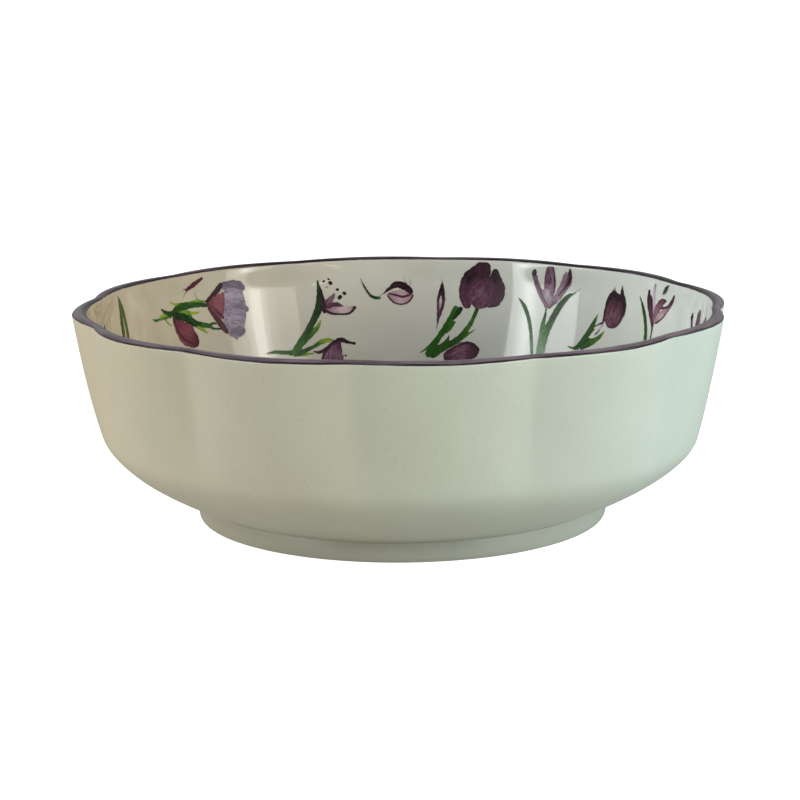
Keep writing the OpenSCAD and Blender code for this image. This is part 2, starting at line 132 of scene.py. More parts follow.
# A stroke is its ink, the points that it passes through, its widths, its shades from dark 0
# to light 1, and the softness of its edges in mm. Widths and shades are spread along it, and a
# stroke of one shade has a single number.
MOTIFS = {}
MOTIFS["leaf_pair"] = [
    ("olive", [(-2.0, -12), (-1.0, -4), (-0.2, 5.1), (0.3, 9.6), (-0.4, 16.3)],
     [2.0, 2.3, 2.6, 2.1, 0.6], [0.0, 0.05, 0.2, 0.3, 0.25], 0.3),
    ("olive", [(2.9, -12), (2.9, -4), (2.9, 5.1), (2.3, 10.7), (0.5, 15)],
     [1.6, 1.9, 2.2, 1.8, 0.6], [0.1, 0.25, 0.35, 0.4, 0.45], 0.3),
]
MOTIFS["lying_tulip"] = [
    ("leaf", [(-19.8, 3.7), (-17.2, 2.1), (-10.9, 1.3), (-4.8, 1.7), (0.4, 0.9)],
     [0.6, 1.0, 1.3, 1.2, 0.6], [1.0, 0.9, 0.8, 0.8, 0.5], 0.3),
    ("leaf", [(-19.2, -1.9), (-13.7, -1.6), (-9.8, -2.4), (-6.4, -2.9), (-3.2, -2.7)],
     [2.0, 1.8, 1.5, 1.3, 0.6], [0.3, 0.6, 0.8, 1.0, 1.0], 0.3),
    ("leaf", [(-19.4, -1.6), (-14.8, 0.3), (-9.2, 0.5), (-4.8, 0.3), (0.6, -0.6)],
     [1.6, 2.8, 2.4, 2.0, 1.2], [0.0, 0.15, 0.2, 0.15, 0.05], 0.2),
    ("leaf", [(-19, -1.8), (-22.6, -0.6), (-25.4, 1.3)], [2.2, 1.6, 0.7], [0.0, 0.1, 0.2], 0.2),
    ("leaf", [(-19.6, -2.2), (-23.7, -2.4), (-27, -2.6), (-29.8, -2.7), (-31.6, -1.7)],
     [1.4, 1.2, 1.1, 1.2, 0.5], [0.2, 0.5, 0.6, 0.3, 0.5], 0.3),
    ("leaf", [(-21.8, -2.1), (-24.4, -1.3), (-26.8, -1.5)], [1.0, 1.0, 0.5], [0.6, 0.9, 0.9], 0.3),
    ("leaf", [(-24, -2.9), (-22.2, -5), (-20.2, -6.2)], [0.6, 0.9, 0.5], [0.6, 0.7, 0.6], 0.4),
    ("maroon", [(-18.9, -3.2), (-15.9, -7.4), (-12.2, -11.2), (-7, -15.6)],
     [1.6, 6.6, 9.2, 4.0], [0.2, 0.5, 0.55, 0.1], 0.2),
    ("maroon", [(-18.6, -3.6), (-17.4, -8.4), (-14.2, -12.6), (-8, -16)],
     [1.0, 1.5, 1.7, 1.2], [0.1, 0.1, 0.15, 0.05], 0.3),
    ("leaf", [(-19.2, -2.4), (-14, -3.2), (-10.3, -5), (-6.4, -7.3), (0, -8.9), (2, -10.2), (7.4, -11)],
     [2.2, 2.6, 3.0, 2.4, 1.4, 0.8, 0.5], [0.0, 0.0, 0.0, 0.05, 0.2, 0.1, 0.0], 0.2),
    ("leaf", [(-6.6, -8.2), (-3.7, -9.9), (-1.1, -11.9)], [1.2, 1.5, 0.6], [0.7, 0.8, 0.9], 0.3),
    ("leaf", [(-4, -7.9), (-0.6, -9), (1.8, -8), (4, -8.6)], [1.4, 1.3, 0.9, 0.5],
     [0.4, 0.3, 0.2, 0.2], 0.2),
    ("leaf", [(-10.4, -1.4), (-9.3, -3.2), (-9.2, -5)], [0.8, 1.2, 1.4], [0.7, 0.5, 0.2], 0.3),
    ("maroon", [(-0.5, 10.8), (-3.4, 9.6), (-6.4, 8.3), (-9.2, 7.2), (-11.8, 7.3)],
     [1.3, 2.0, 2.4, 1.3, 0.5], [0.1, 0.3, 0.25, 0.2, 0.5], 0.3),
    ("maroon", [(-8.6, 7.5), (-10.3, 5.7), (-11.8, 3.8)], [1.2, 0.9, 0.3], [0.3, 0.6, 0.9], 0.6),
    ("lilac", [(-5, 5.6), (-4.7, 3.6), (-3.6, 2.2)], [0.4, 0.9, 0.5], [0.6, 0.5, 0.7], 0.7),
    ("grey_plum", [(7.4, -3.2), (10, -3.4), (13.5, -3.8), (19.2, -4.2)], [19.5, 22.4, 23.2, 21.6],
     [0.6, 0.6, 0.62, 0.55], 0.4),
    ("grey_plum", [(8, 5.9), (12, 6.5), (16.4, 5.9), (19.4, 3.8)], [3.2, 3.4, 4.0, 2.2],
     [0.28, 0.3, 0.25, 0.25], 0.5),
    ("grey_plum", [(8, 1.2), (13, 2.2), (18.2, 1.1)], [3.6, 3.6, 2.4], [0.75, 0.8, 0.7], 0.5),
    ("grey_plum", [(10.2, -3), (14, -2.4), (17.8, -3.3), (20.1, -5.1)], [2.4, 3.0, 3.2, 2.0],
     [0.5, 0.42, 0.36, 0.35], 0.5),
    ("grey_plum", [(9.4, -7.4), (13, -7), (17.8, -7.9)], [2.4, 2.4, 1.8], [0.75, 0.72, 0.6], 0.5),
    ("grey_plum", [(9.6, -12.4), (12.6, -12.8), (15, -12.8), (17.6, -12.2)], [3.4, 4.4, 4.6, 3.4],
     [0.42, 0.38, 0.36, 0.36], 0.5),
    ("maroon", [(0.2, 0.1), (3, -0.9), (6, -2), (8.7, -2.8)], [1.2, 6.4, 13.0, 19.6],
     [0.3, 0.6, 0.7, 0.55], 0.15),
    ("maroon", [(1.2, -0.8), (4.4, -3.2), (7.9, -6.8)], [0.8, 1.7, 1.2], [0.2, 0.2, 0.15], 0.2),
    ("maroon", [(0.8, -1.4), (4, -5.9), (6.8, -9.9), (9, -13)], [1.2, 2.2, 2.6, 1.4],
     [0.15, 0.12, 0.08, 0.05], 0.2),
    ("maroon", [(-0.2, 0.6), (3.4, 2.9), (6.4, 5), (8.7, 7.5)], [1.0, 1.8, 2.4, 1.6],
     0.0, 0.2),
]
MOTIFS["starry_crocus"] = [
    ("leaf", [(-13.4, 1.2), (-9.7, 1.6), (-5.8, 1), (-1.5, 0.6)], [0.6, 1.4, 1.7, 2.0],
     [0.6, 0.4, 0.4, 0.3], 0.4),
    ("leaf", [(0.6, 0), (3.6, -0.5), (7.7, -0.3)], [1.6, 1.3, 0.6], [0.4, 0.8, 0.7], 0.3),
    ("leaf", [(0, -0.4), (4.2, 1.2), (7.5, 2.4), (10.9, 4.1), (14.2, 4.7), (16.4, 4.3)],
     [2.2, 1.7, 1.5, 2.0, 1.8, 0.7], [0.1, 0.2, 0.3, 0.7, 0.9, 0.8], 0.3),
    ("leaf", [(11.5, 13.2), (9.8, 10.2), (6.6, 7), (2, 3.6), (-1, 0.8)], [0.6, 1.7, 1.8, 2.2, 2.4],
     [0.9, 0.6, 0.4, 0.3, 0.3], 0.3),
    ("leaf", [(-1.6, -0.8), (2, 4.1), (5.3, 8.6), (8.6, 13.6), (11, 18.6), (11.5, 24.1), (11, 29.8)],
     [2.6, 2.8, 2.4, 2.6, 2.9, 2.0, 0.6], [0.5, 0.35, 0.15, 0.1, 0.0, 0.0, 0.1], 0.25),
    ("pink", [(13.4, 17.8), (17, 17), (20.4, 16.8), (23.4, 16.9), (25.6, 17.8)],
     [1.2, 2.6, 3.6, 3.2, 1.2], [0.4, 0.6, 0.9, 0.9, 0.5], 0.2),
    ("plum", [(13.2, 18.6), (15, 20.6), (16.6, 22.2), (17.9, 24)], [1.6, 2.9, 2.4, 0.7],
     [0.3, 0.6, 0.7, 0.4], 0.4),
    ("plum", [(14, 17.9), (16.6, 19.4), (19, 19.2), (21, 18.4)], [1.2, 2.2, 1.8, 0.5],
     [0.2, 0.4, 0.35, 0.6], 0.3),
    ("plum", [(13.2, 17.2), (16.2, 15.6), (20, 15.1), (23.3, 15.4), (25.3, 17)],
     [1.2, 1.1, 0.9, 1.0, 1.1], [0.0, 0.05, 0.1, 0.1, 0.0], 0.2),
    ("plum", [(12.2, 26), (12.7, 22.4), (13, 19.2), (13.1, 15.8)], [0.8, 1.5, 2.2, 1.2],
     [0.0, 0.0, 0.0, 0.05], 0.2),
    ("plum", [(24.7, 17.4), (26.3, 17.8)], [1.5, 1.5], 0.0, 0.2),
    ("plum", [(13, 28.8), (14.2, 29.4)], [1.1, 1.1], 0.1, 0.2),
    ("plum", [(15.1, 30.1), (16.1, 29.8)], [0.9, 0.8], 0.1, 0.2),
    ("plum", [(15.4, 29), (16.9, 27.6)], [1.5, 1.8], 0.0, 0.2),
    ("plum", [(14.3, 26.9), (15.1, 26.4)], [0.8, 0.8], 0.3, 0.3),
    ("plum", [(18.6, 26.1), (19.3, 24.8)], [1.3, 1.3], 0.05, 0.2),
    ("plum", [(19, 21.4), (20.6, 23)], [1.9, 2.0], 0.0, 0.2),
    ("plum", [(21.2, 24.5), (22.3, 23.1)], [1.5, 1.5], 0.0, 0.2),
]
MOTIFS["horned_tulip"] = [
    ("plum", [(-3.4, -10.4), (-4, -6.4), (-3.8, -2.6), (-2.4, 0.6), (-1, 3)],
     [4.0, 8.6, 8.0, 5.0, 1.4], [0.3, 0.5, 0.65, 0.45, 0.1], 0.2),
    ("plum", [(-8.4, -9), (-8.9, -4.8), (-7.4, -1.6), (-5, 0.6)], [0.9, 1.3, 1.3, 1.4],
     [0.2, 0.1, 0.0, 0.0], 0.2),
    ("plum", [(-12.6, -1), (-10.8, -1.7), (-8.6, -1.3), (-6, 0.3)], [0.6, 1.2, 1.5, 1.3],
     [0.1, 0.0, 0.0, 0.0], 0.2),
    ("plum", [(-6.4, 0.3), (-3, 2.3), (-0.4, 3.1), (1.8, 2.1), (3.6, 1.6), (5.8, 1.1)],
     [1.0, 1.7, 2.2, 1.8, 1.2, 1.8], 0.0, 0.2),
    ("plum", [(0.6, -3.3), (1.6, -4)], [1.0, 1.1], 0.1, 0.3),
]
MOTIFS["curl_bud"] = [
    ("lilac", [(0.2, 8), (1.2, 6.4), (2.6, 3.4)], [0.3, 0.9, 1.2], [0.9, 0.7, 0.5], 1.0),
    ("lilac", [(3.4, 6.8), (4, 4.8), (4, 2.6)], [0.4, 1.0, 1.4], [0.8, 0.5, 0.4], 1.0),
    ("lilac", [(-7.4, 2.6), (-6, 1.6), (-4.6, 1.6)], [0.3, 0.7, 1.0], [0.8, 0.6, 0.5], 0.8),
    ("pink", [(-5.6, -0.6), (-3.4, -1.4), (0, -1.9), (3, -1.7), (5.2, -0.8)],
     [1.4, 4.6, 6.0, 5.0, 1.4], [0.5, 0.6, 0.8, 0.6, 0.5], 0.2),
    ("plum", [(-5.6, -0.9), (-3, -4), (0.1, -5), (3.4, -3.8), (5.3, -1)],
     [0.5, 0.8, 0.9, 0.8, 0.6], [0.4, 0.45, 0.4, 0.4, 0.3], 0.3),
    ("plum", [(-5, -0.4), (-2.1, -1), (0.7, -1.8), (3, -1.2), (4.6, -0.4)],
     [0.5, 0.9, 1.1, 0.8, 0.5], [0.2, 0.35, 0.3, 0.3, 0.1], 0.3),
    ("plum", [(-6.8, 0), (-4.6, 1.6), (-2.6, 3), (-0.6, 3.3), (2.4, 2), (5, -0.3)],
     [0.6, 1.5, 2.8, 3.1, 2.8, 1.9], [0.1, 0.0, 0.0, 0.0, 0.0, 0.0], 0.2),
    ("grey_plum", [(-9.2, -1.8), (-7.9, -0.8), (-6.2, 0.1)], [0.4, 0.5, 0.6], [0.3, 0.4, 0.1], 0.3),
    ("leaf", [(-16.7, 6.3), (-15.2, 3.1), (-13.5, 0.1), (-11.6, -1.7), (-9.6, -2.2), (-8, -2.3)],
     [0.5, 0.9, 1.0, 1.3, 1.3, 0.4], [0.5, 0.2, 0.2, 0.1, 0.3, 0.7], 0.3),
]
MOTIFS["slim_bud"] = [
    ("lilac", [(0.6, 10.8), (0.5, 8.4), (0.4, 6)], [0.4, 1.2, 1.6], [0.8, 0.5, 0.3], 0.9),
    ("plum", [(0.6, 8), (0.5, 5), (0.2, 1.4), (-0.2, -3), (-0.9, -7), (-1.5, -11.4)],
     [0.5, 2.5, 3.8, 2.9, 1.4, 0.4], [0.0, 0.0, 0.25, 0.45, 0.4, 0.6], 0.3),
    ("lilac", [(0.1, 2.8), (0, 0.4), (-0.2, -2.6)], [0.3, 1.2, 0.4], [0.8, 0.8, 0.6], 0.3),
]
MOTIFS["low_bud"] = [
    ("plum", [(-7.4, -3.6), (-3.4, -1.4), (1, -0.2), (4.6, 0), (7.4, 0.2)],
     [3.4, 7.0, 8.4, 6.8, 2.4], [0.35, 0.55, 0.6, 0.3, 0.05], 0.2),
    ("plum", [(-7, -1.6), (-2.8, 1.6), (1.8, 3.3), (5, 2.6), (7.3, 0.4)], [0.8, 1.2, 1.4, 1.6, 1.4],
     [0.1, 0.05, 0.0, 0.0, 0.0], 0.3),
    ("plum", [(-5.6, -2.4), (-1.4, 0), (2.6, 0.8)], [0.6, 1.3, 0.5], [0.9, 0.9, 0.7], 0.4),
]
MOTIFS["great_tulip"] = [
    ("leaf", [(-2.2, -4.6), (-4.4, -7.4), (-6.6, -9.6)], [0.7, 1.5, 1.4], [0.5, 0.4, 0.3], 0.3),
    ("leaf", [(-4.7, -10.4), (-6.2, -13.6), (-11.2, -17.4)], [0.6, 1.6, 2.2], [0.5, 0.3, 0.3], 0.3),
    ("leaf", [(-17.6, -18.4), (-14, -15.8), (-10.1, -12.4)], [0.5, 1.1, 1.4], [0.5, 0.5, 0.4], 0.3),
    ("leaf", [(6.2, -7.8), (2.1, -10.7), (-1.6, -12.4)], [0.6, 1.1, 1.6], [0.6, 0.5, 0.3], 0.3),
    ("leaf", [(7, 1.4), (5.4, -2.8), (3.3, -6.9), (-0.6, -11.9), (-7.9, -16.3), (-12.6, -19.6)],
     [1.3, 1.4, 1.9, 2.4, 2.5, 2.8], [0.05, 0.4, 0.45, 0.25, 0.3, 0.35], 0.25),
    ("leaf", [(-1.9, 1.8), (-4.5, -4.1), (-9, -11.3), (-14.2, -19.6)], [1.9, 2.4, 2.2, 2.6],
     [0.45, 0.35, 0.3, 0.4], 0.25),
    ("leaf", [(0.4, 1.4), (-1.6, -1.4), (-3.6, -3.8)], [1.6, 2.0, 1.0], 0.0, 0.3),
    ("plum", [(3, 0.8), (1.6, 5.2), (2, 9.6), (3.6, 14), (6.6, 18.4)], [2.6, 5.0, 6.2, 6.0, 2.6],
     [0.4, 0.38, 0.28, 0.12, 0.05], 0.15),
    ("plum", [(10.6, 2.2), (14, 4.6), (15.6, 8.6), (14.4, 12.6), (12.8, 16)],
     [2.2, 5.6, 5.8, 5.2, 3.4], [0.38, 0.32, 0.2, 0.1, 0.05], 0.15),
    ("plum", [(6.4, 1), (8, 6), (8.8, 11), (8.8, 15.6)], [7.0, 11.0, 10.0, 6.0],
     [0.46, 0.48, 0.38, 0.15], 0.15),
    ("plum", [(3.4, 3), (6.4, 6.4), (9, 9.6), (12, 12.6)], [0.8, 2.2, 2.4, 0.8],
     [0.6, 0.68, 0.62, 0.35], 0.8),
    ("plum", [(6.6, 2.4), (9.8, 5.4), (12.4, 8.6)], [0.7, 1.9, 0.7], [0.55, 0.62, 0.4], 0.8),
    ("plum", [(3, 7.4), (5.6, 10.2), (8.2, 13)], [0.6, 1.5, 0.6], [0.5, 0.55, 0.4], 0.8),
    ("plum", [(8.7, 13), (8.7, 16.4), (8.8, 21)], [5.0, 6.4, 6.6], [0.15, 0.08, 0.12], 0.15),
    ("plum", [(7.4, 15), (7.2, 18), (7.4, 20.6)], [0.5, 1.0, 0.6], [0.5, 0.5, 0.3], 0.4),
    ("plum", [(13.5, 11.6), (13.9, 14.6), (13.9, 17.7)], [2.6, 3.3, 2.7], [0.0, 0.0, 0.05], 0.2),
    ("plum", [(2, 10.4), (3.4, 14.2), (6, 18)], [0.9, 2.6, 1.6], [0.05, 0.0, 0.05], 0.3),
]
MOTIFS["open_crocus"] = [
    ("sage", [(-12.6, 3.2), (-9.9, 0.1), (-7.7, -4.3), (-6, -9.9), (-4.4, -18.8), (-4, -24)],
     [0.5, 1.6, 1.6, 1.5, 1.3, 1.2], [0.2, 0.3, 0.4, 0.5, 0.8, 0.9], 0.3),
    ("sage", [(0.2, -0.2), (0, -3.2), (-0.7, -7.1), (-1, -12.1), (-1.3, -18.8), (-1.5, -24)],
     [0.5, 1.2, 1.8, 2.0, 2.2, 2.2], [0.0, 0.1, 0.4, 0.7, 0.9, 1.0], 0.3),
    ("sage", [(15.9, 9.5), (12.6, 6.9), (10.3, 5.8), (6.8, 1.8), (3.5, -4.3), (1, -11), (0, -18.8),
              (-0.2, -24)],
     [0.3, 0.7, 1.7, 2.4, 2.6, 2.7, 2.6, 2.5], [0.5, 0.4, 0.2, 0.1, 0.15, 0.5, 0.85, 1.0], 0.3),
    ("lilac", [(1, 2.6), (1.1, 8), (1.1, 13), (1.3, 18.2)], [4.0, 4.9, 4.5, 1.8],
     [0.7, 0.42, 0.35, 0.2], 0.3),
    ("lilac", [(0.2, -0.4), (0.1, 2.6), (-0.4, 6), (-0.8, 8)], [1.2, 3.8, 4.8, 3.0],
     [0.4, 0.7, 0.75, 0.6], 0.3),
    ("lilac", [(-0.2, 0.8), (-2.6, 5), (-4.8, 9.4), (-6.2, 13.4)], [1.0, 2.4, 2.6, 2.2],
     [0.45, 0.45, 0.3, 0.1], 0.3),
    ("lilac", [(4.2, 5.6), (7, 10), (8.3, 13.6), (9.1, 16)], [1.6, 2.8, 2.4, 0.8],
     [0.6, 0.45, 0.5, 0.8], 0.4),
    ("lilac", [(0.8, -0.2), (3.6, 3.2), (6.6, 6.8), (9.6, 11), (10.5, 14), (10.5, 17)],
     [1.6, 3.2, 3.2, 3.0, 2.4, 1.0], [0.35, 0.5, 0.5, 0.25, 0.1, 0.1], 0.3),
    ("plum", [(-0.4, 9.6), (0.6, 11.4), (0.2, 13.6), (0.6, 16.4)], [1.6, 2.6, 1.6, 0.7],
     [0.6, 0.45, 0.55, 0.6], 0.7),
    ("plum", [(3.2, 6), (3.3, 12), (2.7, 17.6)], [0.5, 1.0, 0.8], [0.6, 0.3, 0.2], 0.4),
    ("plum", [(-1.2, 7.6), (-1.3, 12), (-0.4, 16.8)], [0.4, 0.8, 0.7], [0.6, 0.4, 0.25], 0.4),
    ("plum", [(5.2, 5.2), (8.2, 9), (10.6, 12.6), (10.9, 16.6)], [0.4, 0.8, 1.2, 0.8],
     [0.6, 0.3, 0.15, 0.2], 0.4),
    ("plum", [(-6.6, 12.4), (-6.3, 14.1), (-5.8, 15.7)], [1.3, 2.3, 1.3], [0.1, 0.0, 0.1], 0.4),
    ("plum", [(0.2, 1.4), (-2.8, 6.2), (-5.6, 11)], [0.4, 0.5, 0.6], [0.7, 0.6, 0.4], 0.4),
]
MOTIFS["dark_tulip"] = [
    ("leaf", [(-15.9, -11.5), (-13.4, -12), (-10, -11.6)], [0.5, 1.0, 1.4], [0.8, 0.4, 0.2], 0.3),
    ("leaf", [(1.8, -3.4), (-0.7, -6.3), (-4.8, -9.1), (-9.6, -11.8)], [0.7, 1.8, 2.3, 1.8],
     [0.9, 0.5, 0.4, 0.2], 0.3),
    ("leaf", [(-2.6, 3.2), (-4.3, -0.8), (-6.5, -5.2), (-9.4, -9.7), (-12, -12)],
     [0.4, 1.8, 2.3, 2.3, 1.4], [0.6, 0.3, 0.35, 0.2, 0.1], 0.3),
    ("leaf", [(-3.4, -3.2), (-5.4, -4.6), (-7.4, -6.8)], [0.6, 1.2, 1.4], [0.3, 0.2, 0.2], 0.3),
    ("leaf", [(-4.4, -7.2), (-6.6, -8.2), (-8.4, -9.6)], [0.6, 1.3, 1.2], [0.2, 0.1, 0.1], 0.3),
    ("grey_plum", [(-0.7, -3), (-1.9, -4.5), (-3.1, -5.6)], [0.8, 1.3, 0.6], [0.5, 0.4, 0.6], 0.4),
    ("plum", [(0.4, -0.2), (-1.5, -1), (-3.5, -2.2)], [0.9, 0.9, 0.7], 0.0, 0.2),
    ("lilac", [(-1.1, -2.8), (-0.2, -1.8), (0.8, -0.8)], [0.6, 1.1, 0.8], [0.9, 1.0, 0.8], 0.3),
    ("plum", [(3.4, 11), (4.2, 13.4), (4.9, 15.6)], [1.6, 1.4, 0.5], [0.2, 0.5, 0.8], 0.7),
    ("plum", [(9, 10.8), (8.7, 13.4), (8.5, 16)], [1.9, 1.6, 0.8], [0.05, 0.1, 0.4], 0.4),
    ("plum", [(3.2, -1.7), (5, 2.2), (5.9, 6.4), (6.1, 11)], [4.6, 9.4, 9.6, 5.6],
     [0.42, 0.52, 0.4, 0.12], 0.2),
    ("plum", [(3.1, 0), (4.3, 4), (5, 8)], [0.8, 1.8, 0.9], [0.65, 0.75, 0.5], 0.5),
    ("plum", [(6.2, 0.6), (7.4, 4.4), (7.7, 8)], [0.7, 1.5, 0.8], [0.55, 0.65, 0.4], 0.5),
    ("plum", [(8.6, 13), (10.2, 9.8), (10.9, 6.6), (10, 2.6), (8, -0.6)],
     [1.8, 2.8, 2.4, 1.5, 0.7], [0.0, 0.0, 0.05, 0.2, 0.35], 0.2),
    ("plum", [(0.4, -0.6), (0.9, 4), (1.6, 8.4), (3.6, 11.4), (6, 12.4)],
     [0.8, 1.3, 1.8, 2.6, 1.8], [0.05, 0.0, 0.0, 0.0, 0.0], 0.2),
    ("plum", [(5, 12), (7, 10.8), (9, 11.4)], [1.8, 3.2, 2.0], 0.0, 0.2),
]
MOTIFS["plum_crocus"] = [
    ("leaf", [(-11.3, 10), (-8.7, 6.2), (-6.5, 2.3), (-4.8, -2.1), (-4, -6), (-3.8, -14)],
     [0.4, 1.5, 1.8, 1.9, 2.0, 2.0], [0.6, 0.3, 0.2, 0.3, 0.3, 0.4], 0.3),
    ("leaf", [(-0.7, -4), (-0.8, -8), (-1, -14)], [0.6, 1.1, 1.4], [0.2, 0.3, 0.4], 0.3),
    ("lilac", [(-1.4, 16.4), (-2.1, 12.6), (-1.4, 7), (-0.8, 2.4)], [1.2, 2.4, 1.9, 1.4],
     [0.3, 0.9, 1.0, 0.8], 0.6),
    ("plum", [(-0.6, 1), (0.4, 5), (2.4, 8.4), (6.4, 10.4)], [2.2, 3.4, 3.6, 0.8],
     [0.6, 0.8, 0.6, 0.4], 0.3),
    ("pink", [(-0.2, 0.8), (3.5, 3.9), (7.4, 7), (10.4, 10), (13.3, 13.4)],
     [1.8, 3.4, 2.8, 2.2, 0.7], [0.5, 0.8, 0.5, 0.2, 0.1], 0.3),
    ("plum", [(1.4, 6.4), (4.6, 7.4), (8, 8.2), (11, 10.8), (13.2, 13.6)],
     [0.6, 1.0, 1.0, 1.4, 0.7], [0.3, 0.3, 0.4, 0.3, 0.15], 0.3),
    ("plum", [(1, 0.6), (4.6, 2.8), (7.4, 5.6)], [0.9, 0.8, 0.5], [0.5, 0.5, 0.6], 0.3),
    ("plum", [(0.6, 6), (1.8, 9.2), (4.4, 10.9), (6.8, 10)], [0.5, 0.8, 0.8, 0.5],
     [0.4, 0.3, 0.3, 0.4], 0.3),
    ("plum", [(-5.7, 13.2), (-4.9, 8.6), (-2.8, 3.6), (-0.8, -0.6), (-0.6, -4.4)],
     [0.8, 3.0, 2.6, 1.7, 0.6], [0.05, 0.3, 0.45, 0.4, 0.6], 0.2),
    ("plum", [(-5.6, 12.8), (-5.9, 9.6), (-4.4, 5.6)], [0.7, 1.1, 0.7], [0.0, 0.0, 0.1], 0.2),
    ("plum", [(-3.8, 11.2), (-3.3, 8.2), (-2, 4.4)], [0.5, 1.1, 0.6], [0.0, 0.0, 0.15], 0.2),
    ("grey_plum", [(9.2, 17), (6.4, 14.8), (3.8, 12.4)], [1.0, 2.7, 1.1], [0.1, 0.0, 0.3], 0.5),
]

# Where each transfer sits: azimuth and depth below the rim, or x, y and turn on the floor
FAR_WALL = [
    ("leaf_pair", 161.5, 18.5), ("lying_tulip", 134, 13.5), ("starry_crocus", 113.5, 37.5),
    ("horned_tulip", 103, 36), ("curl_bud", 90, 14.5), ("slim_bud", 81.5, 18.5),
    ("great_tulip", 77, 21.5), ("low_bud", 76.5, 38), ("open_crocus", 58, 18.5),
    ("dark_tulip", 43.5, 21.5), ("plum_crocus", 28, 18.5),
]
NEAR_WALL = [(motif, azimuth - 180, depth) for motif, azimuth, depth in FAR_WALL]
RIGHT_END = [("open_crocus", 9.5, 24.5), ("curl_bud", -8.5, 16.5)]
LEFT_END = [("dark_tulip", 184, 21.5), ("slim_bud", 171, 18.5)]
FLOOR = [("great_tulip", 0, 18, 25), ("plum_crocus", -22, -16, 140), ("curl_bud", 24, -14, -80)]


def numbered(spots):
    """The place of each transfer by its node's name: its motif and how often that has come."""
    places = {}
    used = []
    for motif, *place in spots:
        used.append(motif)
        places[f"{motif}_{used.count(motif)}"] = place
    return places


PLACES = numbered(FAR_WALL + RIGHT_END + NEAR_WALL + LEFT_END + FLOOR)

# Dark, middle and light colour of each ink
INKS = {
    "plum": ("#1c0a12", "#583043", "#9a7385"),
    "maroon": ("#24060c", "#642a35", "#8f525b"),
    "grey_plum": ("#332c37", "#6f5f70", "#ab9dab"),
    "lilac": ("#3d3039", "#85697c", "#cdb9c6"),
    "pink": ("#4a2734", "#93707c", "#cbb0b3"),
    "leaf": ("#0d1f06", "#2b620f", "#92a030"),
    "olive": ("#262e08", "#535f28", "#8f9858"),
    "sage": ("#24401c", "#557d4c", "#9cbd9f"),
}
# How much wider than drawn each leaf ink runs in the firing
RUN = {"leaf": 1.2, "olive": 1.1, "sage": 1.2}
SLOTS = {"open_crocus": "lilac_enamel", "leaf_pair": "leaf_enamel"}


# ---- Colours ----------------------------------------------------------------------------


def linear(colour):
    """Turns an sRGB hex colour into linear RGBA."""
    parts = [int(colour[i:i + 2], 16) / 255 for i in (1, 3, 5)]
    return [c / 12.92 if c <= 0.04045 else ((c + 0.055) / 1.055) ** 2.4 for c in parts] + [1.0]


def colour_property(name, description, value):
    return FloatVectorProperty(name=name, description=description, subtype="COLOR", size=4,
                               min=0.0, max=1.0, default=linear(value))


def length_property(name, description, value):
    return FloatProperty(name=name, description=description, unit="LENGTH", min=0.0, default=value)


class BowlSizes(PropertyGroup):
    rim_radius: length_property("Rim radius", "Radius over the crests of the lobes", RIM_RADIUS)
    height: length_property("Height", "Height from the table to the top of the lip", HEIGHT)
    shoulder_in: length_property("Shoulder", "How far the shoulder is inside the rim", SHOULDER_IN)
    shoulder_height: length_property("Shoulder height", "Where the wall turns under",
                                     SHOULDER_HEIGHT)
    lip: length_property("Lip", "Thickness of the lip over a crest", LIP)
    wall: length_property("Wall", "Thickness of the wall at the shoulder", WALL)
    coat: length_property("Coat", "Thickness of the glazes and of the rim colour", COAT)
    foot_radius: length_property("Foot radius", "Outer radius of the foot ring", FOOT_RADIUS)
    crease_out: length_property("Outer creases", "Depth of the creases outside", CREASE_OUT)
    crease_in: length_property("Inner creases", "Depth of the creases inside", CREASE_IN)
    lobes: IntProperty(name="Lobes", description="Number of lobes round the rim", min=3, default=12)


class BowlColours(PropertyGroup):
    # Each glaze's warm and cool colours are painted light and shade: the warm one, darker, for the -x
    # side of the bowl, the cool one, lighter, for the +x side
    celadon_warm_light: colour_property("Celadon, warm side", "Outer glaze on the warm side of the lighting",
                                  "#d6c7aa")
    celadon_cool_light: colour_property("Celadon, cool side", "Outer glaze on the cool side of the lighting",
                                  "#cfe1d8")
    ivory_warm_shade: colour_property("Ivory, warm side", "Inner glaze on the warm side of the lighting",
                                "#b5a384")
    ivory_cool_light: colour_property("Ivory, cool side", "Inner glaze on the cool side of the lighting",
                                "#e4ebe8")
    biscuit: colour_property("Biscuit", "Bare porcelain of the resting face", "#e4e0d6")
    rim_dark: colour_property("Rim, dark", "Rim colour where it is thickest", "#2a1c23")
    rim_light: colour_property("Rim, light", "Rim colour where the brush ran thin", "#8b7a86")


class StageSettings(PropertyGroup):
    camera_distance: length_property("Camera distance", "From the bowl's axis", 855.3 * MM)
    camera_height: length_property("Camera height", "Over the table", 219.1 * MM)
    camera_aside: FloatProperty(name="Camera aside", description="Offset to the right",
                                unit="LENGTH", default=-0.63 * MM)
    camera_pitch: FloatProperty(name="Camera pitch", description="Downward tilt",
                                unit="ROTATION", default=0.2045)
    camera_roll: FloatProperty(name="Camera roll", description="Turn about the line of sight",
                               unit="ROTATION", default=0.0082)
    camera_lens: FloatProperty(name="Lens", description="Focal length in mm on a 36 mm sensor",
                               default=106.0)


# ---- The bowl's profile -------------------------------------------------------------------


def upright(lean):
    """A unit step up a wall that leans outwards by some degrees."""
    return np.array([math.sin(math.radians(lean)), math.cos(math.radians(lean))])


def level(rise):
    """A unit step outwards along a belly that rises by some degrees."""
    return np.array([math.cos(math.radians(rise)), math.sin(math.radians(rise))])


def bezier(points, steps):
    """Points along a cubic Bezier curve, one row for each step."""
    t = np.linspace(0, 1, steps + 1)[:, None]
    a, b, c, d = (np.array(p, float) for p in points)
    return a * (1 - t) ** 3 + 3 * b * t * (1 - t) ** 2 + 3 * c * t ** 2 * (1 - t) + d * t ** 3


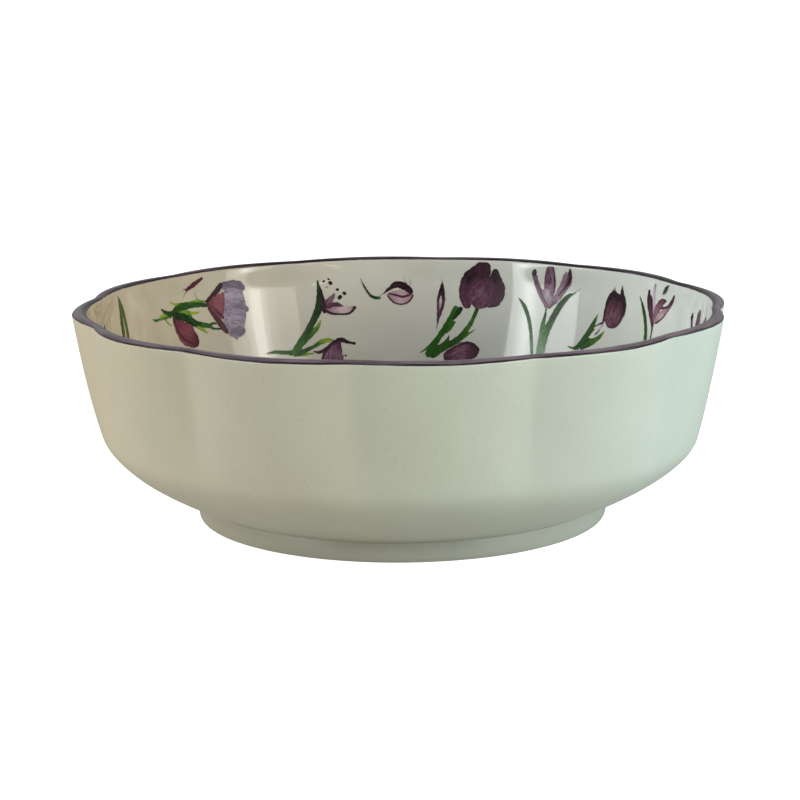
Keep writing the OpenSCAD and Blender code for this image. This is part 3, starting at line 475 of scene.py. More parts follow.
def belly_and_wall(start, shoulder, rim, rise, rim_lean):
    """The curve from the foot or floor out to the shoulder and up the wall to the rim."""
    start, shoulder, rim = (np.array(p, float) for p in (start, shoulder, rim))
    chord = np.linalg.norm(shoulder - start)
    reach = np.linalg.norm(rim - shoulder) / 3
    belly = bezier([start, start + level(rise) * chord * BELLY_HANDLES[0],
                    shoulder - upright(SHOULDER_LEAN) * chord * BELLY_HANDLES[1], shoulder],
                   SHELL_STEPS)
    wall = bezier([shoulder, shoulder + upright(SHOULDER_LEAN) * reach,
                   rim - upright(rim_lean) * reach, rim], SHELL_STEPS)
    return np.vstack([belly, wall[1:]])


def smooth(value, none, full):
    """Rises smoothly from 0 at one value to 1 at another."""
    t = np.clip((value - none) / (full - none), 0, 1)
    return t * t * (3 - 2 * t)


def lip_curve(sizes, turn, proud):
    """Points over the lip, by the turn in radians from its outside, lifted off it a little."""
    share = (1 + np.cos(turn)) / 2
    out, up = LIP_HEIGHT * np.cos(turn), sizes.lip / 2 * np.sin(turn)
    lift = proud / np.hypot(out, up)
    return np.column_stack([sizes.rim_radius - sizes.lip * (1 - share) + out * lift,
                            sizes.height - LIP_HEIGHT + LIP_HEIGHT * np.sin(turn) + up * lift,
                            sizes.crease_in + (sizes.crease_out - sizes.crease_in) * share])


def skin_curves(sizes):
    """Outer face, lip and inner face as rows of radius, height and crease depth."""
    lip_z = sizes.height - LIP_HEIGHT
    shoulder_r = sizes.rim_radius - sizes.shoulder_in
    belly_r = sizes.foot_radius - FOOT_DRAW + LEDGE
    outer = belly_and_wall((belly_r, FOOT_HEIGHT), (shoulder_r, sizes.shoulder_height),
                           (sizes.rim_radius, lip_z), BELLY_RISE, RIM_LEAN)
    inner = belly_and_wall((WELL_RADIUS, FLOOR_HEIGHT),
                           (shoulder_r - sizes.wall, sizes.shoulder_height + sizes.wall / 2),
                           (sizes.rim_radius - sizes.lip, lip_z), 0.0, INNER_LEAN)
    lip = lip_curve(sizes, np.linspace(0, math.pi, LIP_STEPS + 1), 0.0)
    outer_crease = sizes.crease_out * smooth(outer[:, 1], CREASE_LOW, CREASE_FULL)
    inner_crease = sizes.crease_in * smooth(inner[:, 1], sizes.height - CREASE_IN_DROP, lip_z)
    outer = np.column_stack([outer, outer_crease])
    inner = np.column_stack([inner, inner_crease])[::-1]
    seat = [[sizes.foot_radius - FOOT_DRAW, FOOT_HEIGHT, 0.0]]
    floor = [[0.0, FLOOR_HEIGHT, 0.0]]
    return np.vstack([seat, outer]), lip, np.vstack([inner, floor])


def sideways(curve, distance):
    """Moves a curve to its left by a distance, with its creases as they were."""
    ahead = np.gradient(curve[:, :2], axis=0)
    ahead /= np.linalg.norm(ahead, axis=1)[:, None]
    moved = curve.copy()
    moved[:, 0] -= ahead[:, 1] * distance
    moved[:, 1] += ahead[:, 0] * distance
    return moved


def crease_share(angles, lobes):
    """Share of the crease depth at some angles in radians, 0 on a crest and 1 in a crease."""
    turns = (np.degrees(angles) - LOBE_TURN) * lobes / 360
    gap = 1 - np.abs(turns - np.round(turns)) * 2
    soft = np.sqrt(gap ** 2 + CREASE_SOFTNESS ** 2) - CREASE_SOFTNESS
    widest_gap = math.sqrt(1 + CREASE_SOFTNESS ** 2) - CREASE_SOFTNESS
    return np.clip(1 - soft / widest_gap, 0, 1) ** LOBE_POWER


# ---- Modelling helpers ----------------------------------------------------------------------


def deselect():
    if bpy.context.mode != "OBJECT":
        bpy.ops.object.mode_set(mode="OBJECT")
    bpy.ops.object.select_all(action="DESELECT")


def points_of(obj):
    """The points of a mesh as rows of x, y and z."""
    flat = np.empty(len(obj.data.vertices) * 3)
    obj.data.vertices.foreach_get("co", flat)
    return flat.reshape(-1, 3)


def place_points(obj, points):
    obj.data.vertices.foreach_set("co", np.asarray(points, float).ravel())
    obj.data.update()


def store(obj, name, values):
    """Keeps one number for each point of a mesh, for the material to read."""
    layer = obj.data.attributes.get(name) or obj.data.attributes.new(name, "FLOAT", "POINT")
    layer.data.foreach_set("value", np.asarray(values, np.float32))


def stored(obj, name):
    values = np.empty(len(obj.data.vertices), np.float32)
    obj.data.attributes[name].data.foreach_get("value", values)
    return values


def reshape(obj, radius, height, crease, lobes):
    """Moves each point along its own azimuth to a new radius, height and crease depth."""
    points = points_of(obj)
    angle = np.arctan2(points[:, 1], points[:, 0])
    radius = radius - np.where(radius > MM, crease * crease_share(angle, lobes), 0)
    place_points(obj, np.column_stack([radius * np.cos(angle), radius * np.sin(angle), height]))


def lathe(name, section, lobes, across=0.0):
    """Spins a closed section of radius, height and crease depth into a lobed solid."""
    section = np.asarray(section)
    if section.shape[1] == 2:
        section = np.column_stack([section, np.zeros(len(section))])
    deselect()
    bpy.ops.mesh.primitive_circle_add(vertices=len(section), radius=HEIGHT)
    obj = bpy.context.object
    obj.name = name
    place_points(obj, np.column_stack([section[:, 0], np.zeros(len(section)), section[:, 1]]))
    store(obj, "crease", section[:, 2])
    store(obj, "across", np.broadcast_to(across, len(section)))
    bpy.ops.object.mode_set(mode="EDIT")
    bpy.ops.mesh.select_all(action="SELECT")
    bpy.ops.mesh.spin(steps=COLUMNS, angle=math.tau, center=(0, 0, 0), axis=(0, 0, 1))
    bpy.ops.mesh.select_all(action="SELECT")
    bpy.ops.mesh.remove_doubles(threshold=0.00001)
    bpy.ops.mesh.delete_loose()
    bpy.ops.mesh.select_all(action="SELECT")
    bpy.ops.mesh.normals_make_consistent(inside=False)
    bpy.ops.object.mode_set(mode="OBJECT")
    points = points_of(obj)
    reshape(obj, np.hypot(points[:, 0], points[:, 1]), points[:, 2], stored(obj, "crease"), lobes)
    bpy.ops.object.shade_smooth()
    return obj


def finish(obj, slot, node, *materials):
    """Gives a piece its materials and its body, and hides the CAD node that it stands for; its slot is
    not used.
    """
    for material in materials:
        obj.data.materials.append(material)
    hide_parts(node)
    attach(obj, BODY)


# ---- Materials ------------------------------------------------------------------------------


def fill(tree, node, inputs):
    """Links a node's inputs to other nodes' outputs, and sets those that are plain values."""
    for socket, value in inputs.items():
        if isinstance(value, bpy.types.NodeSocket):
            tree.links.new(value, node.inputs[socket])
        else:
            node.inputs[socket].default_value = value


def add_node(tree, kind, inputs=None, output=0, **settings):
    """Adds a shader node with its settings and inputs, and gives one of its outputs."""
    node = tree.nodes.new("ShaderNode" + kind)
    for name, value in settings.items():
        setattr(node, name, value)
    fill(tree, node, inputs or {})
    return node.outputs[output]


def new_material(name):
    """A material with its node tree, its one shader and the place on the piece in metres."""
    material = bpy.data.materials.new(name)
    material.use_nodes = True
    tree = material.node_tree
    place = add_node(tree, "TexCoord", output="Object")
    return material, tree, tree.nodes["Principled BSDF"], place


def drifting(tree, place, size, low, high, detail=2.0):
    """A value that drifts between two limits, in soft blotches of about a real size."""
    cloud = add_node(tree, "TexNoise",
                     {"Vector": place, "Scale": 1 / size, "Detail": detail})
    return add_node(tree, "MapRange",
                    {"Value": cloud, "From Min": 0.3, "From Max": 0.7, "To Min": low,
                     "To Max": high})


def toned(tree, colour, tone):
    """A colour made lighter or darker by a value."""
    grey = add_node(tree, "CombineColor", {0: tone, 1: tone, 2: tone})
    return add_node(tree, "Mix", {0: 1.0, 6: colour, 7: grey}, 2, data_type="RGBA",
                    blend_type="MULTIPLY")


def painted_side_light(tree, place, warm, cool):
    """Painted light and shade: warmer and darker towards -x, cooler and lighter towards +x, softly
    drifting.
    """
    x = add_node(tree, "SeparateXYZ", {"Vector": place}, "X")
    side = add_node(tree, "MapRange",
                    {"Value": x, "From Min": -RIM_RADIUS, "From Max": RIM_RADIUS})
    share = add_node(tree, "Math", {0: side, 1: drifting(tree, place, 60 * MM, -0.05, 0.05)},
                     operation="ADD")
    return add_node(tree, "Mix", {0: share, 6: warm, 7: cool}, 2, data_type="RGBA")


def ivory_colour(tree, place, colours):
    """The ivory glaze with painted light and shade: warm and darker on one side of the bowl, cooler and
    lighter on the other, faintly clouded.
    """
    glaze = painted_side_light(tree, place, colours.ivory_warm_shade, colours.ivory_cool_light)
    return toned(tree, glaze, drifting(tree, place, 14 * MM, 0.97, 1.02))


def glaze_bump(tree, place, wave, height, grain_height):
    """The faint unevenness of a poured glaze: slow waves, with a fine orange peel on them."""
    swell = add_node(tree, "TexNoise", {"Vector": place, "Scale": 1 / wave, "Detail": 1.0})
    peel = add_node(tree, "TexNoise",
                    {"Vector": place, "Scale": 1 / (1.2 * MM), "Detail": 1.0})
    waves = add_node(tree, "Bump", {"Height": swell, "Distance": height})
    return add_node(tree, "Bump",
                    {"Height": peel, "Distance": grain_height, "Normal": waves})


def ivory_bump(tree, place):
    """The unevenness of the ivory glaze, which shows through the enamel on it too."""
    return glaze_bump(tree, place, 16 * MM, 0.05 * MM, 0.0012 * MM)


def ivory_glaze(colours):
    # Clear lime-feldspar glaze over ivory porcelain: wet-looking gloss with crisp reflections
    material, tree, shader, place = new_material("ivory_feldspar_glaze")
    fill(tree, shader, {"Base Color": ivory_colour(tree, place, colours), "Roughness": 0.06,
                        "IOR": 1.56, "Normal": ivory_bump(tree, place)})
    return material


def celadon_glaze(colours):
    # Satin celadon: iron-tinted glaze, broad soft sheen, with painted shade darkening it round the foot
    material, tree, shader, place = new_material("satin_celadon_glaze")
    # Painted light and shade: the glaze warmer and darker towards -x, cooler and lighter towards +x
    glaze = painted_side_light(tree, place, colours.celadon_warm_light, colours.celadon_cool_light)
    z = add_node(tree, "SeparateXYZ", {"Vector": place}, "Z")
    # Painted shade: the foot ring and the base darkened to 0.58 of the colour, rising to full just above
    # the foot
    painted_foot_shade = add_node(tree, "MapRange",
                    {"Value": z, "From Min": FOOT_HEIGHT - 2 * MM, "From Max": FOOT_HEIGHT + 3 * MM,
                     "To Min": 0.58, "To Max": 1.0})
    fleck = add_node(tree, "TexNoise",
                     {"Vector": place, "Scale": 1 / (0.9 * MM), "Detail": 0.0})
    fleck = add_node(tree, "MapRange",
                     {"Value": fleck, "From Min": 0.2, "From Max": 0.32, "To Min": 0.93})
    tone = painted_foot_shade
    for change in (drifting(tree, place, 22 * MM, 0.975, 1.015), fleck):
        tone = add_node(tree, "Math", {0: tone, 1: change}, operation="MULTIPLY")
    fill(tree, shader, {"Base Color": toned(tree, glaze, tone), "IOR": 1.52,
                        "Roughness": drifting(tree, place, 9 * MM, 0.3, 0.37),
                        "Normal": glaze_bump(tree, place, 12 * MM, 0.04 * MM, 0.002 * MM)})
    return material


def porcelain():
    # Hard-paste porcelain under the glazes: white, dense and smooth
    material, tree, shader, place = new_material("hard_paste_porcelain")
    colour = toned(tree, linear("#f2f0ea"), drifting(tree, place, 3 * MM, 0.93, 1.0))
    fill(tree, shader, {"Base Color": colour, "Roughness": 0.5, "IOR": 1.5})
    return material


def biscuit(colours):
    # Unglazed resting face: chalky, finely sanded, greyed where it has rubbed on tables
    material, tree, shader, place = new_material("sanded_biscuit_porcelain")
    rub = drifting(tree, place, 7 * MM, -0.25, 0.45, 4.0)
    colour = add_node(tree, "Mix", {0: rub, 6: colours.biscuit, 7: linear("#a9a49b")}, 2,
                      data_type="RGBA")
    sand = add_node(tree, "TexNoise",
                    {"Vector": place, "Scale": 1 / (0.35 * MM), "Detail": 3.0})
    grit = add_node(tree, "Bump", {"Height": sand, "Distance": 0.03 * MM})
    fill(tree, shader, {"Base Color": colour, "Roughness": 0.75, "Normal": grit})
    return material


def rim_enamel(colours):
    # Manganese-purple overglaze band, brushed on the wheel: long streaks run round the lip, the
    # colour is dark along both edges and grey-lilac on the crown of the lip
    material, tree, shader, place = new_material("brushed_rim_enamel")
    across = add_node(tree, "Attribute", output="Fac", attribute_name="across")
    along = add_node(tree, "Mapping", {"Vector": place, "Scale": (0.06, 0.06, 0.06)})
    lane = add_node(tree, "Math", {0: across, 1: 6 * MM}, operation="MULTIPLY")
    lane = add_node(tree, "CombineXYZ", {"Z": lane})
    brush = add_node(tree, "VectorMath", {0: along, 1: lane})
    crown = add_node(tree, "ValToRGB", {"Fac": across})
    ramp = crown.node.color_ramp
    ramp.elements[0].color = (0.0, 0.0, 0.0, 1)
    ramp.elements[1].color = (0.0, 0.0, 0.0, 1)
    for position, value in ((0.11, 0.1), (0.2, 0.7), (0.42, 0.95), (0.58, 0.8), (0.7, 0.3), (0.84, 0.05)):
        ramp.elements.new(position).color = (value, value, value, 1)
    share = crown
    for change in (drifting(tree, brush, 0.9 * MM, -0.42, 0.25, 3.0),
                   drifting(tree, place, 25 * MM, -0.1, 0.1)):
        share = add_node(tree, "Math", {0: share, 1: change}, operation="ADD")
    share = add_node(tree, "MapRange", {"Value": share})
    colour = add_node(tree, "Mix", {0: share, 6: colours.rim_dark, 7: colours.rim_light}, 2,
                      data_type="RGBA")
    streaks = drifting(tree, brush, 0.9 * MM, 0.0, 1.0, 3.0)
    sheen = add_node(tree, "MapRange", {"Value": streaks, "To Min": 0.22, "To Max": 0.34})
    ridges = add_node(tree, "Bump", {"Height": streaks, "Distance": 0.008 * MM})
    fill(tree, shader, {"Base Color": colour, "Roughness": sheen, "IOR": 1.55, "Normal": ridges})
    return material


def transfer_ink(name, colours):
    # Overglaze transfer enamel: flatter than the glaze round it, with brush streaks along each
    # stroke, darker outlines, and thin edges that let the ivory through
    material, tree, shader, place = new_material(name + "_transfer_enamel")
    shade, edge, soft = (add_node(tree, "Attribute", output="Fac", attribute_name=key)
                         for key in ("shade", "edge", "soft"))
    uv = add_node(tree, "UVMap", output="UV", uv_map="stroke")
    hairs = add_node(tree, "Mapping", {"Vector": uv, "Scale": (1.0, 0.13, 1.0)})
    outline = add_node(tree, "MapRange",
                       {"Value": edge, "From Min": 0.1, "From Max": 0.9, "To Min": -0.1,
                        "To Max": 0.06})
    tone = shade
    for change in (drifting(tree, hairs, 0.55, -0.17, 0.17, 3.0),
                   drifting(tree, place, 1.4 * MM, -0.07, 0.07), outline):
        tone = add_node(tree, "Math", {0: tone, 1: change}, operation="ADD")
    ink = add_node(tree, "ValToRGB", {"Fac": tone})
    ramp = ink.node.color_ramp
    ramp.elements[0].color = linear(INKS[name][0])
    ramp.elements[1].color = linear(INKS[name][2])
    ramp.elements.new(0.5).color = linear(INKS[name][1])
    frayed = add_node(tree, "Math",
                      {0: edge, 1: drifting(tree, place, 1.4 * MM, -0.1, 0.1)}, operation="ADD")
    cover = add_node(tree, "Math", {0: frayed, 1: soft}, operation="DIVIDE")
    cover = add_node(tree, "MapRange", {"Value": cover})
    colour = add_node(tree, "Mix",
                      {0: cover, 6: ivory_colour(tree, place, colours), 7: ink}, 2, data_type="RGBA")
    fill(tree, shader, {"Base Color": colour, "Roughness": 0.34, "IOR": 1.45,
                        "Specular IOR Level": 0.3, "Normal": ivory_bump(tree, place)})
    return material


# ---- Transfers ------------------------------------------------------------------------------


def through(points, t):
    """Points along a smooth curve through given points, for t from 0 to 1."""
    points = np.array(points, float)
    if points.ndim == 0:
        points = np.full(2, points)
    if points.ndim == 1:
        points = points[:, None]
    last = len(points) - 1
    at = np.clip(t, 0, 1) * last
    i = np.minimum(at.astype(int), last - 1)
    f = (at - i)[:, None]
    p0 = points[np.maximum(i - 1, 0)]
    p1 = points[i]
    p2 = points[i + 1]
    p3 = points[np.minimum(i + 2, last)]
    return 0.5 * (2 * p1 + (p2 - p0) * f + (2 * p0 - 5 * p1 + 4 * p2 - p3) * f ** 2
                  + (3 * p1 - p0 - 3 * p2 + p3) * f ** 3)


def other_strokes(points, name, layer):
    """How deep each point lies inside other strokes, and the shade of those under it if of its ink."""
    depth = np.full(len(points), FAR_OUTSIDE)
    under = np.full(len(points), -1.0)
    t = np.linspace(0, 1, 60)
    for number, (other_ink, line, widths, shades, _) in enumerate(MOTIFS[name]):
        if number == layer:
            continue
        gaps = np.linalg.norm(points[:, None] - through(line, t)[None], axis=2)
        near = gaps.argmin(axis=1)
        half = through(widths, t)[near, 0] * RUN.get(other_ink, 1) / 2
        inside = half - gaps[np.arange(len(points)), near]
        depth = np.maximum(depth, inside)
        if number < layer:
            shade = through(shades, t)[near, 0] if other_ink == MOTIFS[name][layer][0] else -1.0
            under = np.where(inside > OVERLAP, shade, under)
    return depth, under


def flat_stroke(name, layer, material):
    """One brush stroke as a flat sheet in millimetres, round at both ends."""
    ink, line, widths, shades, soft = MOTIFS[name][layer]
    samples = np.linspace(0, 1, LINE_SAMPLES)
    rough = through(line, samples)
    travel = np.concatenate([[0], np.cumsum(np.linalg.norm(np.diff(rough, axis=0), axis=1))])
    length = travel[-1]
    cells_across = max(4, 2 * math.ceil(max(widths) / STROKE_CELL / 2))
    cells_along = max(6, math.ceil(length / STROKE_CELL))
    deselect()
    bpy.ops.mesh.primitive_grid_add(x_subdivisions=cells_across, y_subdivisions=cells_along, size=1)
    obj = bpy.context.object
    grid = points_of(obj)
    side = grid[:, 0] * 2
    caps = [min(width / 2, length * LONGEST_CAP) for width in (widths[0], widths[-1])]
    if cells_along > 2 * ROUND_STEPS + 2:
        body = np.linspace(caps[0], length - caps[1], cells_along + 1 - 2 * ROUND_STEPS)
        bend = 1 - np.cos(np.linspace(0, math.pi / 2, ROUND_STEPS + 1))[:-1]
        stops = np.concatenate([caps[0] * bend, body, length - caps[1] * bend[::-1]])
    else:
        stops = length * (1 - np.cos(np.linspace(0, math.pi, cells_along + 1))) / 2
    row = np.rint((grid[:, 1] + 0.5) * cells_along).astype(int)
    way = stops[row]
    t = np.interp(way, travel, samples)
    centre = through(line, t)
    ahead = through(line, t + 0.01) - through(line, t - 0.01)
    ahead /= np.maximum(np.linalg.norm(ahead, axis=1), 1e-6)[:, None]
    width = np.maximum(through(widths, t)[:, 0], THINNEST) * RUN.get(ink, 1)
    for cap, gap in ((caps[0], way), (caps[1], length - way)):
        inside = np.clip(gap / cap, 0, 1)
        width = width * np.maximum(np.sqrt(1 - (1 - inside) ** 2), 0.02)
    wobble = 1 + 0.05 * np.sin(way * 1.9 + layer * 1.7) + 0.04 * np.sin(way * 3.7 + layer * 2.9)
    offset = side * width * wobble / 2
    lift = (ENAMEL_PROUD + ENAMEL_STEP * layer) / MM
    spots = np.column_stack([centre[:, 0] + ahead[:, 1] * offset,
                             centre[:, 1] - ahead[:, 0] * offset])
    place_points(obj, np.column_stack([spots, np.full(len(grid), lift)]))
    edge = np.minimum((1 - np.abs(side)) * width / 2, np.minimum(way, length - way) + 0.05)
    shade = through(shades, t)[:, 0]
    depth, under = other_strokes(spots, name, layer)
    own = np.where(under < 0, 1.0, smooth(edge, 0.0, soft * 1.8 + 0.1))
    store(obj, "shade", under + (shade - under) * own)
    store(obj, "edge", np.maximum(edge, 2.0 * smooth(depth, -0.25, 0.2)))
    store(obj, "soft", np.full(len(grid), soft))
    map_layer = obj.data.uv_layers[0]
    map_layer.name = "stroke"
    corners = np.empty(len(obj.data.loops), int)
    obj.data.loops.foreach_get("vertex_index", corners)
    spots = np.column_stack([offset + 7.3 * layer, way])[corners]
    map_layer.data.foreach_set("uv", spots.ravel())
    obj.data.materials.append(material)
    return obj


def flat_motif(name, materials):
    """A whole motif, its strokes joined, flat and in millimetres."""
    strokes = [flat_stroke(name, layer, materials[stroke[0]])
               for layer, stroke in enumerate(MOTIFS[name])]
    deselect()
    for stroke in strokes:
        stroke.select_set(True)
    bpy.context.view_layer.objects.active = strokes[0]
    if len(strokes) > 1:
        bpy.ops.object.join()
    motif = bpy.context.object
    motif.name = name + "_flat"
    return motif


def drape(points, place, face, lobes):
    """Bends flat points, in millimetres, onto the wall or lays them on the floor."""
    u, v, lift = (points * MM).T
    if len(place) == 3:
        x, y, turn = place[0] * MM, place[1] * MM, math.radians(place[2])
        return np.column_stack([x + u * math.cos(turn) - v * math.sin(turn),
                                y + u * math.sin(turn) + v * math.cos(turn), FLOOR_HEIGHT + lift])
    drop = np.concatenate([[0], np.cumsum(np.linalg.norm(np.diff(face[:, :2], axis=0), axis=1))])
    start = np.interp(place[1] * MM - (face[0, 1] + LIP_HEIGHT), -face[:, 1], drop)
    radius, height, crease = (np.interp(start - v, drop, face[:, i]) for i in range(3))
    slope = np.gradient(face[:, :2], drop, axis=0)
    inward = np.interp(start - v, drop, slope[:, 1])
    upward = -np.interp(start - v, drop, slope[:, 0])
    middle = np.interp(start, drop, face[:, 0])
    angle = math.radians(place[0]) - u / middle
    radius = radius - crease * crease_share(angle, lobes) + inward * lift
    return np.column_stack([radius * np.cos(angle), radius * np.sin(angle), height + upward * lift])


# ---- Operators ------------------------------------------------------------------------------


def settings():
    """The three groups of settings that the panel shows."""
    scene = bpy.context.scene
    return scene.bowl_sizes, scene.bowl_colours, scene.bowl_stage


def coat_section(curve, thickness):
    """The closed section of a coat: its face, and the same curve sunk by its thickness."""
    under = sideways(curve, thickness)
    return np.vstack([curve, under[::-1]])


class BOWL_OT_body(Operator):
    """Model the fired porcelain body under the glazes"""

    bl_idname = "bowl.body"
    bl_label = "Porcelain body"

    def execute(self, context):
        sizes, _, _ = settings()
        outer, lip, inner = skin_curves(sizes)
        section = sideways(np.vstack([outer, lip[1:], inner[1:]]), sizes.coat)
        section[:, 0] = np.maximum(section[:, 0], 0)
        underside = [[0.0, FOOT_HEIGHT + sizes.coat, 0.0]]
        section = np.vstack([section, underside])
        body = lathe("porcelain_body", section, sizes.lobes)
        finish(body, "white_porcelain", "bowl_body", porcelain())
        return {"FINISHED"}


class BOWL_OT_foot_ring(Operator):
    """Turn the foot ring, glazed outside with a bare resting face"""

    bl_idname = "bowl.foot_ring"
    bl_label = "Foot ring"

    def execute(self, context):
        sizes, colours, _ = settings()
        seat_r = sizes.foot_radius - FOOT_DRAW
        toe_r = sizes.foot_radius - FOOT_THICKNESS / 2
        seat_z = FOOT_HEIGHT + sizes.coat
        toe = bezier([(toe_r + REST_WIDTH / 2, 0), (sizes.foot_radius, 0.1 * MM),
                      (sizes.foot_radius, FOOT_HEIGHT / 3), (seat_r, FOOT_HEIGHT)], 14)
        heel = bezier([(seat_r - FOOT_THICKNESS, FOOT_HEIGHT), (seat_r - FOOT_THICKNESS, FOOT_HEIGHT / 3),
                       (toe_r - REST_WIDTH / 2 - 1.5 * MM, 0.1 * MM), (toe_r - REST_WIDTH / 2, 0)], 12)
        section = np.vstack([toe, [[seat_r, seat_z], [seat_r - FOOT_THICKNESS, seat_z]], heel])
        ring = lathe("turned_foot_ring", section, sizes.lobes)
        finish(ring, "celadon_glaze", "foot_ring", bpy.data.materials["satin_celadon_glaze"],
               biscuit(colours))
        for face in ring.data.polygons:
            if face.center.z < 0.5 * MM:
                face.material_index = 1
        return {"FINISHED"}


class BOWL_OT_outer_glaze(Operator):
    """Coat the outside in celadon, from the foot ring to the lip"""

    bl_idname = "bowl.outer_glaze"
    bl_label = "Celadon glaze"

    def execute(self, context):
        sizes, colours, _ = settings()
        outer, lip, _ = skin_curves(sizes)
        curve = np.vstack([outer, lip[1:LIP_STEPS // 2 + 1]])
        section = coat_section(curve, sizes.coat)
        coat = lathe("celadon_coat", section, sizes.lobes)
        finish(coat, "celadon_glaze", "outer_glaze", celadon_glaze(colours))
        return {"FINISHED"}


class BOWL_OT_base_glaze(Operator):
    """Coat the underside inside the foot ring"""

    bl_idname = "bowl.base_glaze"
    bl_label = "Base glaze"

    def execute(self, context):
        sizes, _, _ = settings()
        low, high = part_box("base_glaze")
        edge = high.x
        roll = sizes.coat / 2
        turn = np.linspace(-math.pi / 2, math.pi / 2, 7)
        rounded = np.column_stack([edge - roll + roll * np.cos(turn),
                                   (low.z + high.z) / 2 + roll * np.sin(turn)])
        hollow = [[r * edge, low.z + 0.12 * MM * (1 - r * r)] for r in (0.0, 0.25, 0.5, 0.75, 0.9)]
        section = np.vstack([hollow, rounded, [[0.0, high.z]]])
        disc = lathe("base_coat", section, sizes.lobes)
        finish(disc, "celadon_glaze", "base_glaze", bpy.data.materials["satin_celadon_glaze"])
        return {"FINISHED"}


class BOWL_OT_inner_glaze(Operator):
    """Coat the inner wall and the floor in ivory"""

    bl_idname = "bowl.inner_glaze"
    bl_label = "Ivory glaze"

    def execute(self, context):
        sizes, colours, _ = settings()
        _, lip, inner = skin_curves(sizes)
        curve = np.vstack([lip[LIP_STEPS // 2:], inner[1:]])
        section = coat_section(curve, sizes.coat)
        section[:, 0] = np.maximum(section[:, 0], 0)
        coat = lathe("ivory_coat", section, sizes.lobes)
        finish(coat, "ivory_glaze", "inner_glaze", ivory_glaze(colours))
        return {"FINISHED"}


def rim_points(sizes, way, drift):
    """The rim band's points: over the lip as its way goes from 0 to 1, and back under it to 2."""
    across = np.where(way > 1, 2 - way, way)
    proud = np.where(way > 1, -sizes.coat / 2, RIM_PROUD)
    proud = np.where((across < 0.001) | (across > 0.999), -RIM_PROUD, proud)
    wander = RIM_WANDER * drift * (smooth(across, 0.3, 0.0) - smooth(across, 0.7, 1.0))
    turn = RIM_START + (RIM_STOP - RIM_START) * across + wander
    return lip_curve(sizes, turn, proud), across


class BOWL_OT_rim_band(Operator):
    """Brush the plum-grey band over the lip"""

    bl_idname = "bowl.rim_band"
    bl_label = "Painted rim"

    def execute(self, context):
        sizes, colours, _ = settings()
        share = np.linspace(0, 1, LIP_STEPS * 2 + 1)
        way = np.concatenate([share, 1 + share[1:-1]])
        section, _ = rim_points(sizes, way, 0.0)
        band = lathe("painted_rim", section, sizes.lobes, way)
        points = points_of(band)
        angle = np.arctan2(points[:, 1], points[:, 0])
        drift = sum(weight * np.sin(waves * angle + start) for waves, start, weight in BRUSH_DRIFT)
        curve, across = rim_points(sizes, stored(band, "across"), drift)
        reshape(band, *curve.T, sizes.lobes)
        store(band, "across", across)
        finish(band, "rim_enamel", "rim_band", rim_enamel(colours))
        return {"FINISHED"}


class BOWL_OT_transfers(Operator):
    """Draw each flower motif once, and lay copies of it on the inner glaze"""

    bl_idname = "bowl.transfers"
    bl_label = "Flower transfers"

    def execute(self, context):
        sizes, colours, _ = settings()
        _, _, inner = skin_curves(sizes)
        inks = {name: transfer_ink(name, colours) for name in INKS}
        motifs = {name: flat_motif(name, inks) for name in MOTIFS}
        for node, place in PLACES.items():
            kind = node.rsplit("_", 1)[0]
            deselect()
            piece = motifs[kind].copy()
            piece.data = motifs[kind].data.copy()
            piece.name = node + "_enamel"
            context.collection.objects.link(piece)
            piece.select_set(True)
            context.view_layer.objects.active = piece
            place_points(piece, drape(points_of(piece), place, inner, sizes.lobes))
            thickness = piece.modifiers.new("thickness", "SOLIDIFY")
            thickness.thickness = ENAMEL_DEPTH
            thickness.offset = -1.0
            bpy.ops.object.modifier_apply(modifier=thickness.name)
            bpy.ops.object.shade_smooth_by_angle(angle=math.radians(35))
            finish(piece, SLOTS.get(kind, "plum_enamel"), node)
        for motif in motifs.values():
            bpy.data.objects.remove(motif)
        return {"FINISHED"}


# The sky straight down, straight up, and at shares of the way between
SKY_BELOW = (0.4, 0.4, 0.36, 1)
SKY_ABOVE = (0.14, 0.14, 0.14, 1)
SKY_BETWEEN = ((0.4, SKY_BELOW), (0.52, (0.36, 0.37, 0.36, 1)), (0.6, (0.34, 0.35, 0.35, 1)))

WARM = (1.0, 0.98, 0.94)
COOL = (0.95, 1.0, 1.0)

# Each light: its azimuth, width, lowest and highest elevation in degrees, its distance in metres,
# its power in watts a square metre, its colour, and whether the glaze mirrors it. Lights that lie
# on one another add up, so a window is a broad light with brighter strips in it.
LIGHTS = (
    ("left_window", 208.9, 29.8, 3.9, 28, 3.4, 12, COOL),
    ("left_window_bright", 216.5, 14, 4.7, 28, 3.3, 3, COOL),
    ("left_window_core", 216.5, 8, 5.4, 28, 3.2, 6, COOL),
    ("left_window_sun", 216.5, 3.5, 5.6, 28, 3.1, 7, COOL),
    ("right_window", 328.5, 31, 3.6, 28, 3.4, 6.6, WARM),
    ("right_window_bright", 331, 18, 4.6, 28, 3.3, 3, WARM),
    ("right_window_core", 331, 10, 5.0, 28, 3.2, 6.6, WARM),
    ("right_window_sun", 331, 5, 5.4, 28, 3.1, 11, WARM),
    ("far_lamp", 303, 8, 2.6, 4.2, 3.2, 16, WARM),
    ("left_fill", 162, 40, 4, 28, 1.6, 11.5, WARM, False),
    ("right_fill", 340, 50, 4, 28, 1.6, 12.4, COOL, False),
)


